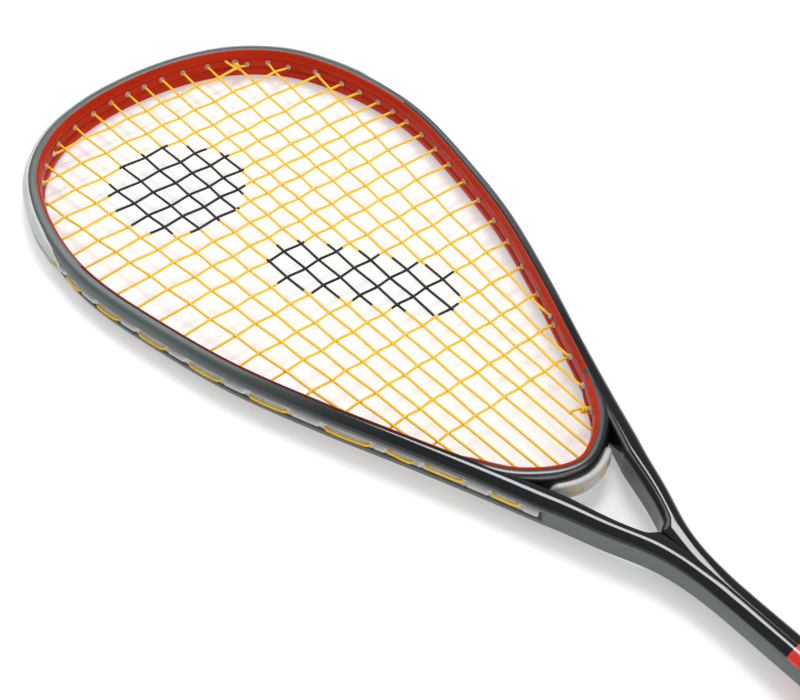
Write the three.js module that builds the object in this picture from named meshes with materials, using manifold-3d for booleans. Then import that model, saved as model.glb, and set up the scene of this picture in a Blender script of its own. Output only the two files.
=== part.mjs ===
// Squash racket: a one-piece moulded carbon rail that forms the hoop, the throat arms and the shaft,
// a separate throat bridge, clear bumper and grommet strips, one continuous string, and the handle.
//
// All sizes are millimetres. Inside the racket group X runs across the head, Y runs along the racket
// towards the tip, and Z is square to the string plane, which is Z = 0. The finished object stands in
// its own frame with the origin at the bottom centre of its bounding box.

import * as THREE from 'three';
import { mergeVertices } from 'three/addons/utils/BufferGeometryUtils.js';
import Module from 'manifold-3d';

const wasm = await Module();
wasm.setup();

// ---------------------------------------------------------------------------
// Driving dimensions
// ---------------------------------------------------------------------------

const CLEARANCE = 0.3; // gap between touching pieces

// Inner edge of the hoop, right half, from the tip to the bottom of the throat bridge.
const HOOP_EDGE = [
  [0, 150.4],
  [29, 147.3],
  [56, 136.8],
  [77.5, 116.5],
  [90.5, 88],
  [96.9, 55],
  [97, 25],
  [90.5, -12],
  [79, -58],
  [63, -101],
  [45.5, -142],
  [34.5, -164],
  [21, -183.5],
  [0, -194.5],
];
const HOOP_EDGE_IN_RAIL = 11; // the first points of HOOP_EDGE are the rail's own inner edge
const RAIL_WIDTH = 7.1;
const RAIL_SECTION = { wall: 7.4, crest: 8.6, crestAt: 0.27, groove: 2.2 };

// The rail leaves the hoop line, narrows into a throat arm and joins its twin in the shaft.
const THROAT_STATIONS = [
  { inner: [31.2, -174], outer: [38.7, -177.4], wall: 7.2, crest: 8.6, crestAt: 0.3, groove: 2.2 },
  { inner: [19.5, -200], outer: [28.4, -204], wall: 6.2, crest: 8.5, crestAt: 0.38, groove: 2.2 },
  { inner: [16.6, -206.5], outer: [25.3, -210.6], wall: 5.6, crest: 8.5, crestAt: 0.4, groove: 0 },
  { inner: [12, -220.7], outer: [20.2, -225], wall: 4.8, crest: 8.4, crestAt: 0.42, groove: 0 },
  { inner: [8.4, -230.5], outer: [16.1, -234.6], wall: 4.5, crest: 8.3, crestAt: 0.42, groove: 0 },
  { inner: [4.6, -238.2], outer: [12.9, -241.6], wall: 4.2, crest: 8.2, crestAt: 0.4, groove: 0 },
  { inner: [0, -241.8], outer: [10.6, -247], wall: 4.2, crest: 8.1, crestAt: 0.58, groove: 0 },
  { inner: [0, -247], outer: [9, -253], wall: 5.6, crest: 8, crestAt: 0.51, groove: 0 },
  { inner: [0, -254], outer: [7.7, -260], wall: 7, crest: 7.8, crestAt: 0.39, groove: 0 },
  { inner: [0, -263], outer: [6.8, -268], wall: 7.5, crest: 7.6, crestAt: 0.26, groove: 0 },
  { inner: [0, -280], outer: [6.4, -280], wall: 7.38, crest: 7.4, crestAt: 0.12, groove: 0 },
];
const STEPS_PER_HOOP_SPAN = 4;
const STEPS_PER_THROAT_SPAN = 2;
const RAIL_ROUNDNESS = 2.2; // exponent of the rounded outer face

const SHAFT_END = -519.5;
const SHAFT_HALF_WIDTH = 6.4;
const SHAFT_HALF_DEPTH = 7.4;
const SHAFT_WALL = 1.7;
const SHAFT_BORE_TOP = -268;

const STRING_RADIUS = 0.6;
const MAIN_LAYER = 0.75; // height of the mains over the string plane; the crosses lie as far below it
const STRING_SIDES = 6;

// Distance of each main from the middle of the head, where it crosses Y = 0.
const MAIN_OFFSETS = [4.9, 14.3, 24.5, 35.3, 46.1, 57.4, 71];
const MAIN_FAN = 0.00024; // outer mains lean inwards towards the throat
const TOP_CROSS = 132;
const CROSS_GAPS = [
  17, 16.5, 15, 12.5, 13.5, 11.5, 12, 13.5, 14,
  14, 15.5, 15.5, 16.5, 16, 17.5, 18.5, 19.5, 19,
];

const TIP_TIE_MAIN = 11; // mains that share a hole with a tied-off end, counted from the left
const THROAT_TIE_MAIN = 10;

// How far the drillings of the lower mains dip below the crosswise direction, outermost main first.
const LOWER_MAIN_DIPS = [87, 52, 42, 38, 38];

const HOLE_RADIUS = 2;
const BARREL_RADIUS = 1.45;
const BORE_RADIUS = 1.05;
const TIE_HOLE_RADIUS = 2.4; // the two holes that also take a tied-off end are wider
const TIE_BARREL_RADIUS = 1.85;
const TIE_BORE_RADIUS = 1.4;
const TIE_RUN_HEIGHT = 2.2; // a tied-off end runs along the strip this far over the string plane
const TIE_LIFT = 0.3; // and shares its last hole this far over the main
const KNOT_STAND = 4.2;
const KNOT_RADIUS = 1.5;
const BARREL_STAND = 0.3; // a barrel stands this far out of the inner wall
const BEND_STAND = 1.4; // a string straightens this far inside the hoop

// Heights over the rail's outer edge, measured outwards.
const LOOP_OUTSET = -0.1;
const LOOP_SHARES = [1 / 3, 2 / 3];
const STRIP_SECTION = [
  [-1.9, -2.2],
  [-1.9, 2.2],
  [-1.1, 2.3],
  [-1.1, -2.3],
];
const BUMPER_HALF_SECTION = [
  [-1.9, 2.2],
  [0.05, 2.85],
  [-0.62, 5.7],
  [-0.4, 6.3],
  [1.2, 5.4],
  [2.2, 3.2],
  [2, 1.85],
  [-1.1, 1.75],
];
const BUMPER_END = 52; // the bumper wraps the tip down to this height on both sides
const SIDE_STRIP_END = -202;

const BRIDGE_STRIP_SECTION = [
  [7.5, -4.6],
  [7.5, 4.6],
  [9.5, 4.2],
  [9.5, 1.9],
  [8.3, 1.75],
  [8.3, -1.75],
  [9.5, -1.9],
  [9.5, -4.2],
];
const BRIDGE_LOOP_STAND = 9.2; // distance of the bridge's string loops from the hoop's inner edge
const BRIDGE_TOP = -158; // the bridge's tapered horns start here
const BRIDGE_STRIP_REACH = 12.3;

const BUTT_END = -526.3;
const FOAM_HALF = [13.5, 11.25];
const FOAM_TOP_HALF = [9.4, 9.7];
const FOAM_TAPER_START = -356;
const FOAM_TOP = -333;
const FOAM_BOTTOM = -522.5;
const HANDLE_CORNER = 5;
const CAP_RIM = -498;
const CAP_WALL = 1.3;
const CAP_FLARE_START = -519.5;
const CAP_FLARE_HALF = [18, 15.6];
const CAP_PLATE = 3;
const WRAP_THICKNESS = 1.7;
const WRAP_BOTTOM = -519;
const WRAP_TOP = -335;
const TAPE_THICKNESS = 0.5;
const TAPE_RANGE = [-350, -340];
const COLLAR_THICKNESS = 0.9;
const COLLAR_RANGE = [-352, -327];
const SHAFT_FIT = 0.65; // the oval openings round the shaft are larger than it by this much
const PLUG_RANGE = [-362, -322];
const STAPLE = { width: 11, leg: 6, wire: 0.6, breadth: 1.2, at: -508 };

// ---------------------------------------------------------------------------
// Materials
// ---------------------------------------------------------------------------

function finish(color, roughness, metalness = 0) {
  return new THREE.MeshStandardMaterial({ color, roughness, metalness });
}

const graphitePaint = finish(0x4d5659, 0.25, 0.3);
const blackPaint = finish(0x111315, 0.12);
const clearNylon = finish(0xc9c6bd, 0.35);
const yellowString = finish(0xf3b71c, 0.35);
const handleFoam = finish(0xd8cfb0, 0.9);
const blackPlastic = finish(0x17181a, 0.45);
const blackGrip = finish(0x1b1b1d, 0.75);
const blackRubber = finish(0x161617, 0.55);
const blackTape = finish(0x0e0e10, 0.5);
const greyFoam = finish(0x6f6f70, 0.9);
const stapleWire = finish(0xb9bcc0, 0.3, 0.9);

// ---------------------------------------------------------------------------
// Solids
// ---------------------------------------------------------------------------

// A closed mesh from rings with equal point counts. The rings either close on themselves or end in
// flat caps.
function loft(rings, closesOnItself = false) {
  const count = rings[0].length;
  const positions = rings.flat(2);
  const index = [];
  const spans = closesOnItself ? rings.length : rings.length - 1;
  for (let ring = 0; ring < spans; ring += 1) {
    const here = ring * count;
    const there = ((ring + 1) % rings.length) * count;
    for (let i = 0; i < count; i += 1) {
      const j = (i + 1) % count;
      index.push(here + i, here + j, there + j);
      index.push(here + i, there + j, there + i);
    }
  }
  if (!closesOnItself) {
    const last = (rings.length - 1) * count;
    for (const [a, b, c] of capTriangles(rings[0])) index.push(c, b, a);
    for (const [a, b, c] of capTriangles(rings[rings.length - 1])) index.push(last + a, last + b, last + c);
  }
  return facingOut(positions, index);
}

// Triangles of a flat end, found in the plane where the ring is widest.
function capTriangles(ring) {
  const spans = [0, 1, 2].map((axis) => {
    const values = ring.map((point) => point[axis]);
    return Math.max(...values) - Math.min(...values);
  });
  const flat = spans.indexOf(Math.min(...spans));
  const kept = [0, 1, 2].filter((axis) => axis !== flat);
  const outline = ring.map((point) => new THREE.Vector2(point[kept[0]], point[kept[1]]));
  const clockwise = THREE.ShapeUtils.isClockWise(outline);
  if (clockwise) outline.reverse();
  const turn = (i) => (clockwise ? ring.length - 1 - i : i);
  const triangles = THREE.ShapeUtils.triangulateShape(outline, []);
  const faces = triangles.map(([a, b, c]) => [turn(a), turn(b), turn(c)]);
  return clockwise ? faces.map(([a, b, c]) => [a, c, b]) : faces;
}

function makeGeometry(positions, index) {
  const geometry = new THREE.BufferGeometry();
  geometry.setAttribute('position', new THREE.Float32BufferAttribute(positions, 3));
  geometry.setIndex(index);
  return geometry;
}

// Turns the triangles over when the mesh encloses a negative volume.
function facingOut(positions, index) {
  const at = (i) => new THREE.Vector3(positions[3 * i], positions[3 * i + 1], positions[3 * i + 2]);
  let volume = 0;
  for (let i = 0; i < index.length; i += 3) {
    volume += at(index[i]).dot(at(index[i + 1]).cross(at(index[i + 2])));
  }
  if (volume < 0) index.reverse();
  return makeGeometry(positions, index);
}

function toSolid(geometry) {
  const bare = geometry.clone();
  bare.deleteAttribute('normal');
  bare.deleteAttribute('uv');
  const merged = mergeVertices(bare, 1e-4);
  const mesh = new wasm.Mesh({
    numProp: 3,
    vertProperties: new Float32Array(merged.attributes.position.array),
    triVerts: new Uint32Array(merged.index.array),
  });
  return new wasm.Manifold(mesh);
}

function toGeometry(solid) {
  const mesh = solid.getMesh();
  return makeGeometry(Array.from(mesh.vertProperties), Array.from(mesh.triVerts));
}

function joined(solids) {
  return solids.reduce((sum, solid) => sum.add(solid));
}

function largestPart(solid) {
  const parts = solid.decompose();
  return parts.reduce((best, part) => (part.volume() > best.volume() ? part : best));
}

// A six-sided bar between two points at one height.
function bar(from, to, height, radius) {
  const start = new THREE.Vector3(...from, height);
  const end = new THREE.Vector3(...to, height);
  const along = end.clone().sub(start);
  const geometry = new THREE.CylinderGeometry(radius, radius, along.length(), 6);
  const turn = new THREE.Quaternion().setFromUnitVectors(new THREE.Vector3(0, 1, 0), along.normalize());
  geometry.applyQuaternion(turn);
  const middle = start.add(end).multiplyScalar(0.5);
  geometry.translate(middle.x, middle.y, middle.z);
  return toSolid(geometry);
}

function box(size, centre) {
  const geometry = new THREE.BoxGeometry(...size);
  geometry.translate(...centre);
  return toSolid(geometry);
}

// ---------------------------------------------------------------------------
// Plane geometry
// ---------------------------------------------------------------------------

const add = (a, b, scale = 1) => [a[0] + b[0] * scale, a[1] + b[1] * scale];
const mirrorX = (point) => [-point[0], ...point.slice(1)];
const mix = (a, b, t) => a + (b - a) * t;

function unit(vector) {
  const length = Math.hypot(vector[0], vector[1]);
  return [vector[0] / length, vector[1] / length];
}

function catmullRom(before, a, b, after, t) {
  const pull = 2 * a + (b - before) * t;
  const square = (2 * before - 5 * a + 4 * b - after) * t * t;
  const cube = (3 * a - before - 3 * b + after) * t * t * t;
  return (pull + square + cube) / 2;
}

// The closed inner edge of the hoop, with its outward direction at every sample.
const HOOP_SAMPLES = 720;
const hoopCurve = new THREE.CatmullRomCurve3(
  [...HOOP_EDGE, ...HOOP_EDGE.slice(1, -1).reverse().map(mirrorX)].map(([x, y]) => new THREE.Vector3(x, y, 0)),
  true,
  'centripetal',
);
const hoop = Array.from({ length: HOOP_SAMPLES }, (_, i) => {
  const point = hoopCurve.getPointAt(i / HOOP_SAMPLES);
  const tangent = hoopCurve.getTangentAt(i / HOOP_SAMPLES);
  return { point: [point.x, point.y], out: unit([-tangent.y, tangent.x]) };
});

function hoopPoint(sample, stand) {
  return add(sample.point, sample.out, stand);
}

// Where a straight string meets the hoop line at a given distance from the inner edge.
function meetHoop(origin, direction, stand) {
  const across = ([x, y]) => (x - origin[0]) * direction[1] - (y - origin[1]) * direction[0];
  const ahead = ([x, y]) => (x - origin[0]) * direction[0] + (y - origin[1]) * direction[1];
  for (let i = 0; i < HOOP_SAMPLES; i += 1) {
    const a = hoop[i];
    const b = hoop[(i + 1) % HOOP_SAMPLES];
    const sideA = across(hoopPoint(a, stand));
    const sideB = across(hoopPoint(b, stand));
    if (sideA * sideB <= 0 && sideA !== sideB && ahead(hoopPoint(a, stand)) > 0) {
      const t = sideA / (sideA - sideB);
      const from = hoopPoint(a, stand);
      const to = hoopPoint(b, stand);
      return { point: [mix(from[0], to[0], t), mix(from[1], to[1], t)], out: a.out };
    }
  }
  throw new Error('the string misses the hoop');
}

// ---------------------------------------------------------------------------
// Rail stations
// ---------------------------------------------------------------------------

function hoopKnot([x, y]) {
  const nearest = hoop.reduce((best, sample) => {
    const distance = Math.hypot(sample.point[0] - x, sample.point[1] - y);
    return distance < best.distance ? { distance, out: sample.out } : best;
  }, { distance: Infinity });
  const out = x === 0 ? [0, 1] : nearest.out;
  return { inner: [x, y], outer: add([x, y], out, RAIL_WIDTH), ...RAIL_SECTION };
}

function knotValues(knot) {
  return [...knot.inner, ...knot.outer, knot.wall, knot.crest, knot.crestAt, knot.groove];
}

function stationFrom(values) {
  const inner = [Math.max(values[0], 0), values[1]];
  const outer = [values[2], values[3]];
  const [wall, crest, crestAt, groove] = values.slice(4);
  const out = unit(add(outer, inner, -1));
  return { inner, outer, out, wall, crest, crestAt, groove: Math.max(groove, 0) };
}

const knots = [...HOOP_EDGE.slice(0, HOOP_EDGE_IN_RAIL).map(hoopKnot), ...THROAT_STATIONS].map(knotValues);
const hoopSpans = HOOP_EDGE_IN_RAIL;

// A station of the rail. The whole part of s counts knots from the tip.
function railAt(s) {
  const k = Math.min(Math.floor(s), knots.length - 2);
  const t = s - k;
  const before = k > 0 ? knots[k - 1] : mirroredKnot(knots[1]);
  const after = knots[Math.min(k + 2, knots.length - 1)];
  return stationFrom(knots[k].map((value, i) => catmullRom(before[i], value, knots[k + 1][i], after[i], t)));
}

function mirroredKnot([innerX, innerY, outerX, outerY, ...section]) {
  return [-innerX, innerY, -outerX, outerY, ...section];
}

// A point over the rail's outer edge. Negative s is the left side.
function overRail(s, outset) {
  const station = railAt(Math.abs(s));
  const point = add(station.outer, station.out, outset);
  return s < 0 ? mirrorX(point) : point;
}

function railOut(s) {
  const { out } = railAt(Math.abs(s));
  return s < 0 ? mirrorX(out) : out;
}

function railStationAtHeight(height) {
  let low = 0;
  let high = knots.length - 1;
  for (let i = 0; i < 40; i += 1) {
    const middle = (low + high) / 2;
    if (railAt(middle).outer[1] > height) low = middle;
    else high = middle;
  }
  return low;
}

// Where a drilling leaves the rail, as a signed station.
function leaveRail(origin, direction, outset) {
  const side = origin[0] < 0 ? -1 : 1;
  const across = (s) => {
    const point = overRail(s * side, outset);
    return (point[0] - origin[0]) * direction[1] - (point[1] - origin[1]) * direction[0];
  };
  const ahead = (s) => {
    const point = overRail(s * side, outset);
    return (point[0] - origin[0]) * direction[0] + (point[1] - origin[1]) * direction[1];
  };
  const step = 0.02;
  for (let s = 0; s < hoopSpans + 2; s += step) {
    if (across(s) * across(s + step) <= 0 && ahead(s) > 0) {
      const share = across(s) / (across(s) - across(s + step));
      return side * (s + share * step);
    }
  }
  throw new Error('the drilling misses the rail');
}

// ---------------------------------------------------------------------------
// Rail section
// ---------------------------------------------------------------------------

const OUTER_ANGLES = [62, 36];
const RIM_HEIGHT = 3.2;
const GROOVE_HEIGHT = 2.6;

// Upper half of the section as [distance from the inner edge, height].
function upperSection(station, width) {
  const crestFrom = station.crestAt * width;
  const reach = width - crestFrom;
  const power = 2 / RAIL_ROUNDNESS;
  const bulge = (z) => {
    const share = (z / station.crest) ** RAIL_ROUNDNESS;
    return crestFrom + reach * (1 - share) ** (1 / RAIL_ROUNDNESS);
  };
  const shoulder = OUTER_ANGLES.map((degrees) => {
    const angle = THREE.MathUtils.degToRad(degrees);
    return [crestFrom + reach * Math.cos(angle) ** power, station.crest * Math.sin(angle) ** power];
  });
  return [
    [0, station.wall],
    [crestFrom * 0.35, mix(station.wall, station.crest, 0.8)],
    [crestFrom, station.crest],
    ...shoulder,
    [bulge(RIM_HEIGHT), RIM_HEIGHT],
    [bulge(GROOVE_HEIGHT) - station.groove, GROOVE_HEIGHT],
  ];
}

function railRing(station, shrink = 0) {
  const inner = add(station.inner, station.out, -shrink);
  const width = Math.hypot(...add(station.outer, inner, -1));
  const upper = upperSection(station, width);
  const outline = [...upper, ...upper.map(([n, z]) => [n, -z]).reverse()];
  return outline.map(([n, z]) => {
    const [x, y] = add(inner, station.out, n);
    return [x, y, z];
  });
}

// The places along the right rail where it is built.
function railGrid() {
  const grid = [];
  for (let k = 0; k < knots.length - 1; k += 1) {
    const steps = k < hoopSpans ? STEPS_PER_HOOP_SPAN : STEPS_PER_THROAT_SPAN;
    for (let i = 0; i < steps; i += 1) grid.push(k + i / steps);
  }
  return [...grid, knots.length - 1];
}

// The rail's own grid between two signed stations, so that a strip bends where the rail bends.
function gridBetween(from, to) {
  const grid = railGrid();
  const both = [...grid.slice(1).map((s) => -s).reverse(), ...grid];
  const low = Math.min(from, to);
  const high = Math.max(from, to);
  const margin = 0.03;
  return [low, ...both.filter((s) => s > low + margin && s < high - margin), high];
}

function railStations() {
  const stations = railGrid().map(railAt);
  const end = { ...stations[stations.length - 1] };
  end.inner = [0, SHAFT_END];
  end.outer = [SHAFT_HALF_WIDTH, SHAFT_END];
  stations.push(end);
  return stations;
}

// Both rails as one solid. Faces on the mirror plane are left out, so the halves share their edges.
function railSolid() {
  const rings = railStations().map((station) => railRing(station));
  const half = loft(rings);
  const position = half.attributes.position;
  const onPlane = (i) => Math.abs(position.getX(i)) < 1e-6;
  const corners = [];
  const source = half.index.array;
  for (let i = 0; i < source.length; i += 3) {
    const triangle = [source[i], source[i + 1], source[i + 2]];
    if (!triangle.every(onPlane)) corners.push(triangle);
  }
  const positions = [];
  for (const triangle of corners) {
    for (const i of triangle) {
      positions.push(position.getX(i), position.getY(i), position.getZ(i));
    }
    for (const i of [...triangle].reverse()) {
      positions.push(-position.getX(i), position.getY(i), position.getZ(i));
    }
  }
  const index = positions.slice(0, positions.length / 3).map((_, i) => i);
  return toSolid(makeGeometry(positions, index));
}

// ---------------------------------------------------------------------------
// Strings and their holes
// ---------------------------------------------------------------------------

function crossHeights() {
  const heights = [TOP_CROSS];
  for (const gap of CROSS_GAPS) heights.push(heights[heights.length - 1] - gap);
  return heights;
}

function drilling(stringPoint, stringDirection, axis, layer, tied = false) {
  const bend = meetHoop(stringPoint, stringDirection, -BEND_STAND);
  const direction = axis ?? unit(add(bend.out, stringDirection));
  const wall = meetHoop(bend.point, direction, 0);
  const throughBridge = Math.abs(direction[0]) < 1e-6;
  const exit = throughBridge ? null : leaveRail(bend.point, direction, LOOP_OUTSET);
  const exitPoint = exit === null
    ? meetHoop(bend.point, direction, BRIDGE_LOOP_STAND).point
    : overRail(exit, LOOP_OUTSET);
  return { bend: bend.point, direction, wall: wall.point, exit, exitPoint, layer, tied };
}

function makeMains() {
  const offsets = [...MAIN_OFFSETS.map((x) => -x).reverse(), ...MAIN_OFFSETS];
  return offsets.map((x, i) => {
    const side = Math.sign(x);
    const fromEdge = Math.min(i, offsets.length - 1 - i);
    const up = unit([side * MAIN_FAN * Math.abs(x) ** 1.5, 1]);
    const dip = THREE.MathUtils.degToRad(LOWER_MAIN_DIPS[fromEdge] ?? 90);
    const lowerAxis = fromEdge < LOWER_MAIN_DIPS.length ? [side * Math.cos(dip), -Math.sin(dip)] : [0, -1];
    return {
      top: drilling([x, 0], up, null, MAIN_LAYER, i === TIP_TIE_MAIN),
      bottom: drilling([x, 0], [-up[0], -up[1]], lowerAxis, MAIN_LAYER, i === THROAT_TIE_MAIN),
    };
  });
}

const mains = makeMains();
const crosses = crossHeights().map((y) => ({
  left: drilling([0, y], [-1, 0], null, -MAIN_LAYER),
  right: drilling([0, y], [1, 0], null, -MAIN_LAYER),
}));
const drillings = [
  ...mains.flatMap((main) => [main.top, main.bottom]),
  ...crosses.flatMap((cross) => [cross.left, cross.right]),
];

// A loop of string outside the rail or the bridge, between two drillings. It follows the rail.
function outerLoop(from, to) {
  const start = [...from.exitPoint, from.layer];
  const end = [...to.exitPoint, to.layer];
  if (from.exit === null) return [start, end];
  const between = LOOP_SHARES.map((share) => [
    ...overRail(mix(from.exit, to.exit, share), LOOP_OUTSET),
    mix(from.layer, to.layer, share),
  ]);
  return [start, ...between, end];
}

function stringRoute() {
  const route = [];
  const comeIn = (drilled) => route.push([...drilled.bend, drilled.layer]);
  const count = mains.length;
  // The mains, from the bottom of the last one on the right to the bottom of the first on the left.
  for (let i = count - 1; i >= 0; i -= 1) {
    const upwards = (count - 1 - i) % 2 === 0;
    const start = upwards ? mains[i].bottom : mains[i].top;
    const end = upwards ? mains[i].top : mains[i].bottom;
    comeIn(start);
    comeIn(end);
    if (i > 0) {
      const next = upwards ? mains[i - 1].top : mains[i - 1].bottom;
      route.push(...outerLoop(end, next));
    }
  }
  // The crosses, from the throat to the tip, starting on the left where the mains ended.
  route.push(...outerLoop(mains[0].bottom, crosses[crosses.length - 1].left));
  for (let j = crosses.length - 1; j >= 0; j -= 1) {
    const rightwards = (crosses.length - 1 - j) % 2 === 0;
    const start = rightwards ? crosses[j].left : crosses[j].right;
    const end = rightwards ? crosses[j].right : crosses[j].left;
    comeIn(start);
    comeIn(end);
    if (j > 0) {
      const next = rightwards ? crosses[j - 1].right : crosses[j - 1].left;
      route.push(...outerLoop(end, next));
    }
  }
  return route;
}

// One end of the string: out of its last hole, along the rail, in through a wide hole and knotted.
function tiedOffRoute(last, host, runHeight, steps, tailEnd) {
  const run = Array.from({ length: steps - 1 }, (_, i) => {
    const s = mix(last.exit, host.exit, (i + 1) / steps);
    return [...overRail(s, LOOP_OUTSET), runHeight];
  });
  const knot = add(host.wall, host.direction, -KNOT_STAND);
  return [
    [...last.bend, last.layer],
    [...last.exitPoint, last.layer],
    ...run,
    [...host.exitPoint, host.layer + TIE_LIFT],
    [...host.bend, host.layer + TIE_LIFT],
    [...knot, host.layer + TIE_LIFT],
    tailEnd,
  ];
}

// A cord of constant thickness along a route that stays almost level.
function cordSolid(route) {
  const rings = route.map((point, i) => {
    const before = route[Math.max(i - 1, 0)];
    const after = route[Math.min(i + 1, route.length - 1)];
    const arriving = i > 0 ? unit(add(point, before, -1)) : unit(add(after, point, -1));
    const leaving = i < route.length - 1 ? unit(add(after, point, -1)) : arriving;
    const middle = unit(add(arriving, leaving));
    const side = [-middle[1], middle[0]];
    const stretch = 1 / Math.max(middle[0] * leaving[0] + middle[1] * leaving[1], 0.5);
    return Array.from({ length: STRING_SIDES }, (_, k) => {
      const angle = (2 * Math.PI * k) / STRING_SIDES;
      const reach = STRING_RADIUS * Math.cos(angle) * stretch;
      const height = STRING_RADIUS * Math.sin(angle);
      return [point[0] + side[0] * reach, point[1] + side[1] * reach, point[2] + height];
    });
  });
  return toSolid(loft(rings));
}

function knotSolid([x, y, z]) {
  const geometry = new THREE.IcosahedronGeometry(KNOT_RADIUS, 1);
  geometry.translate(x, y, z);
  return toSolid(geometry);
}

function stringSolid() {
  const throatHost = mains[THROAT_TIE_MAIN].bottom;
  const tipHost = mains[TIP_TIE_MAIN].top;
  const throatKnot = add(throatHost.wall, throatHost.direction, -KNOT_STAND);
  const tipKnot = add(tipHost.wall, tipHost.direction, -KNOT_STAND);
  const throatTail = [throatKnot[0] - 5, throatKnot[1] + 3.4, MAIN_LAYER];
  const tipTail = [tipKnot[0] - 3.5, tipKnot[1] + 2.5, 4.5];
  const ends = [
    tiedOffRoute(mains[mains.length - 1].bottom, throatHost, TIE_RUN_HEIGHT, 6, throatTail),
    tiedOffRoute(crosses[0].right, tipHost, 0, 4, tipTail),
  ];
  return joined([
    cordSolid(stringRoute()),
    ...ends.map(cordSolid),
    knotSolid([...throatKnot, MAIN_LAYER]),
    knotSolid([...tipKnot, MAIN_LAYER]),
  ]);
}

// ---------------------------------------------------------------------------
// Frame, bridge, bumper and strips
// ---------------------------------------------------------------------------

function holeSolids() {
  const reach = 4;
  return drillings.map((drilled) => {
    const start = add(drilled.wall, drilled.direction, -reach);
    const end = add(drilled.exitPoint, drilled.direction, reach);
    return bar(start, end, drilled.layer, drilled.tied ? TIE_HOLE_RADIUS : HOLE_RADIUS);
  });
}

const holes = joined(holeSolids());

function ellipseRing(halfWidth, halfDepth, y, points = 24) {
  return Array.from({ length: points }, (_, i) => {
    const angle = (2 * Math.PI * i) / points;
    return [halfWidth * Math.cos(angle), y, halfDepth * Math.sin(angle)];
  });
}

function shaftBore() {
  const width = SHAFT_HALF_WIDTH - SHAFT_WALL;
  const depth = SHAFT_HALF_DEPTH - SHAFT_WALL;
  const ends = [SHAFT_END - 5, SHAFT_BORE_TOP];
  return toSolid(loft(ends.map((y) => ellipseRing(width, depth, y))));
}

function frameGeometry() {
  return toGeometry(railSolid().subtract(holes).subtract(shaftBore()));
}

function bridgeSamples() {
  return hoop.filter((sample, i) => i % 6 === 0 && sample.point[1] < BRIDGE_TOP);
}

const BRIDGE_SECTION = { wall: 7.4, crest: 8.6, crestAt: 0.3, groove: 0 };
const BRIDGE_WIDTH = 7.2;

function bridgeGeometry() {
  const rings = bridgeSamples().map((sample) => {
    const outer = hoopPoint(sample, BRIDGE_WIDTH);
    return railRing({ ...BRIDGE_SECTION, inner: sample.point, outer, out: sample.out });
  });
  const start = railStationAtHeight(BRIDGE_TOP + 30);
  const keepOut = [];
  const steps = 16;
  for (let i = 0; i <= steps; i += 1) {
    const station = railAt(mix(start, knots.length - 5, i / steps));
    const grown = { ...station, wall: station.wall + 1.4, crest: station.crest + 1.4 };
    keepOut.push(railRing(grown, CLEARANCE));
  }
  const right = toSolid(loft(keepOut));
  const left = toSolid(loft(keepOut.map((ring) => ring.map(mirrorX))));
  const bridge = toSolid(loft(rings)).subtract(right).subtract(left).subtract(holes);
  return toGeometry(largestPart(bridge));
}

// The barrels of a strip and the bores through them. A slanting barrel stops further back, so that
// it stays under the string loops.
function barrels(list, bodyDepth) {
  const outer = [];
  const bores = [];
  for (const drilled of list) {
    const radius = drilled.tied ? TIE_BARREL_RADIUS : BARREL_RADIUS;
    const out = drilled.exit === null ? drilled.direction : railOut(drilled.exit);
    const square = Math.min(out[0] * drilled.direction[0] + out[1] * drilled.direction[1], 1);
    const setBack = (bodyDepth + radius * Math.sqrt(1 - square * square)) / square;
    const start = add(drilled.wall, drilled.direction, -BARREL_STAND);
    const end = add(drilled.exitPoint, drilled.direction, -setBack);
    outer.push(bar(start, end, drilled.layer, radius));
    const boreStart = add(drilled.wall, drilled.direction, -5);
    const boreEnd = add(drilled.exitPoint, drilled.direction, 5);
    bores.push(bar(boreStart, boreEnd, drilled.layer, drilled.tied ? TIE_BORE_RADIUS : BORE_RADIUS));
  }
  return { outer: joined(outer), bores: joined(bores) };
}

const BARREL_ROOT = 1.1; // a barrel ends inside its strip, this far before the string loop

// A strip that follows the rail's outer edge between two signed stations.
function railStrip(section, from, to, list) {
  const rings = gridBetween(from, to).map((s) => section.map(([outset, z]) => [...overRail(s, outset), z]));
  const { outer, bores } = barrels(list, BARREL_ROOT);
  return toGeometry(toSolid(loft(rings)).add(outer).subtract(bores));
}

const bumperEnd = railStationAtHeight(BUMPER_END);
const stripEnd = railStationAtHeight(SIDE_STRIP_END);
const stripStart = bumperEnd + 0.015;

function bumperGeometry() {
  const section = [...BUMPER_HALF_SECTION, ...BUMPER_HALF_SECTION.map(([n, z]) => [n, -z]).reverse()];
  const list = drillings.filter((drilled) => drilled.exit !== null && Math.abs(drilled.exit) < bumperEnd);
  return railStrip(section, -bumperEnd, bumperEnd, list);
}

function sideStripGeometry(side) {
  const list = drillings.filter((drilled) => {
    return drilled.exit !== null && drilled.exit * side > bumperEnd;
  });
  return railStrip(STRIP_SECTION, side * stripStart, side * stripEnd, list);
}

function bridgeStripGeometry() {
  const samples = hoop.filter((sample, i) => {
    return i % 4 === 0 && sample.point[1] < 0 && Math.abs(sample.point[0]) < BRIDGE_STRIP_REACH;
  });
  const rings = samples.map((sample) => BRIDGE_STRIP_SECTION.map(([n, z]) => [...hoopPoint(sample, n), z]));
  const list = drillings.filter((drilled) => drilled.exit === null);
  const { outer, bores } = barrels(list, BRIDGE_LOOP_STAND - 8);
  return toGeometry(toSolid(loft(rings)).add(outer).subtract(bores));
}

// ---------------------------------------------------------------------------
// Handle
// ---------------------------------------------------------------------------

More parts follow.
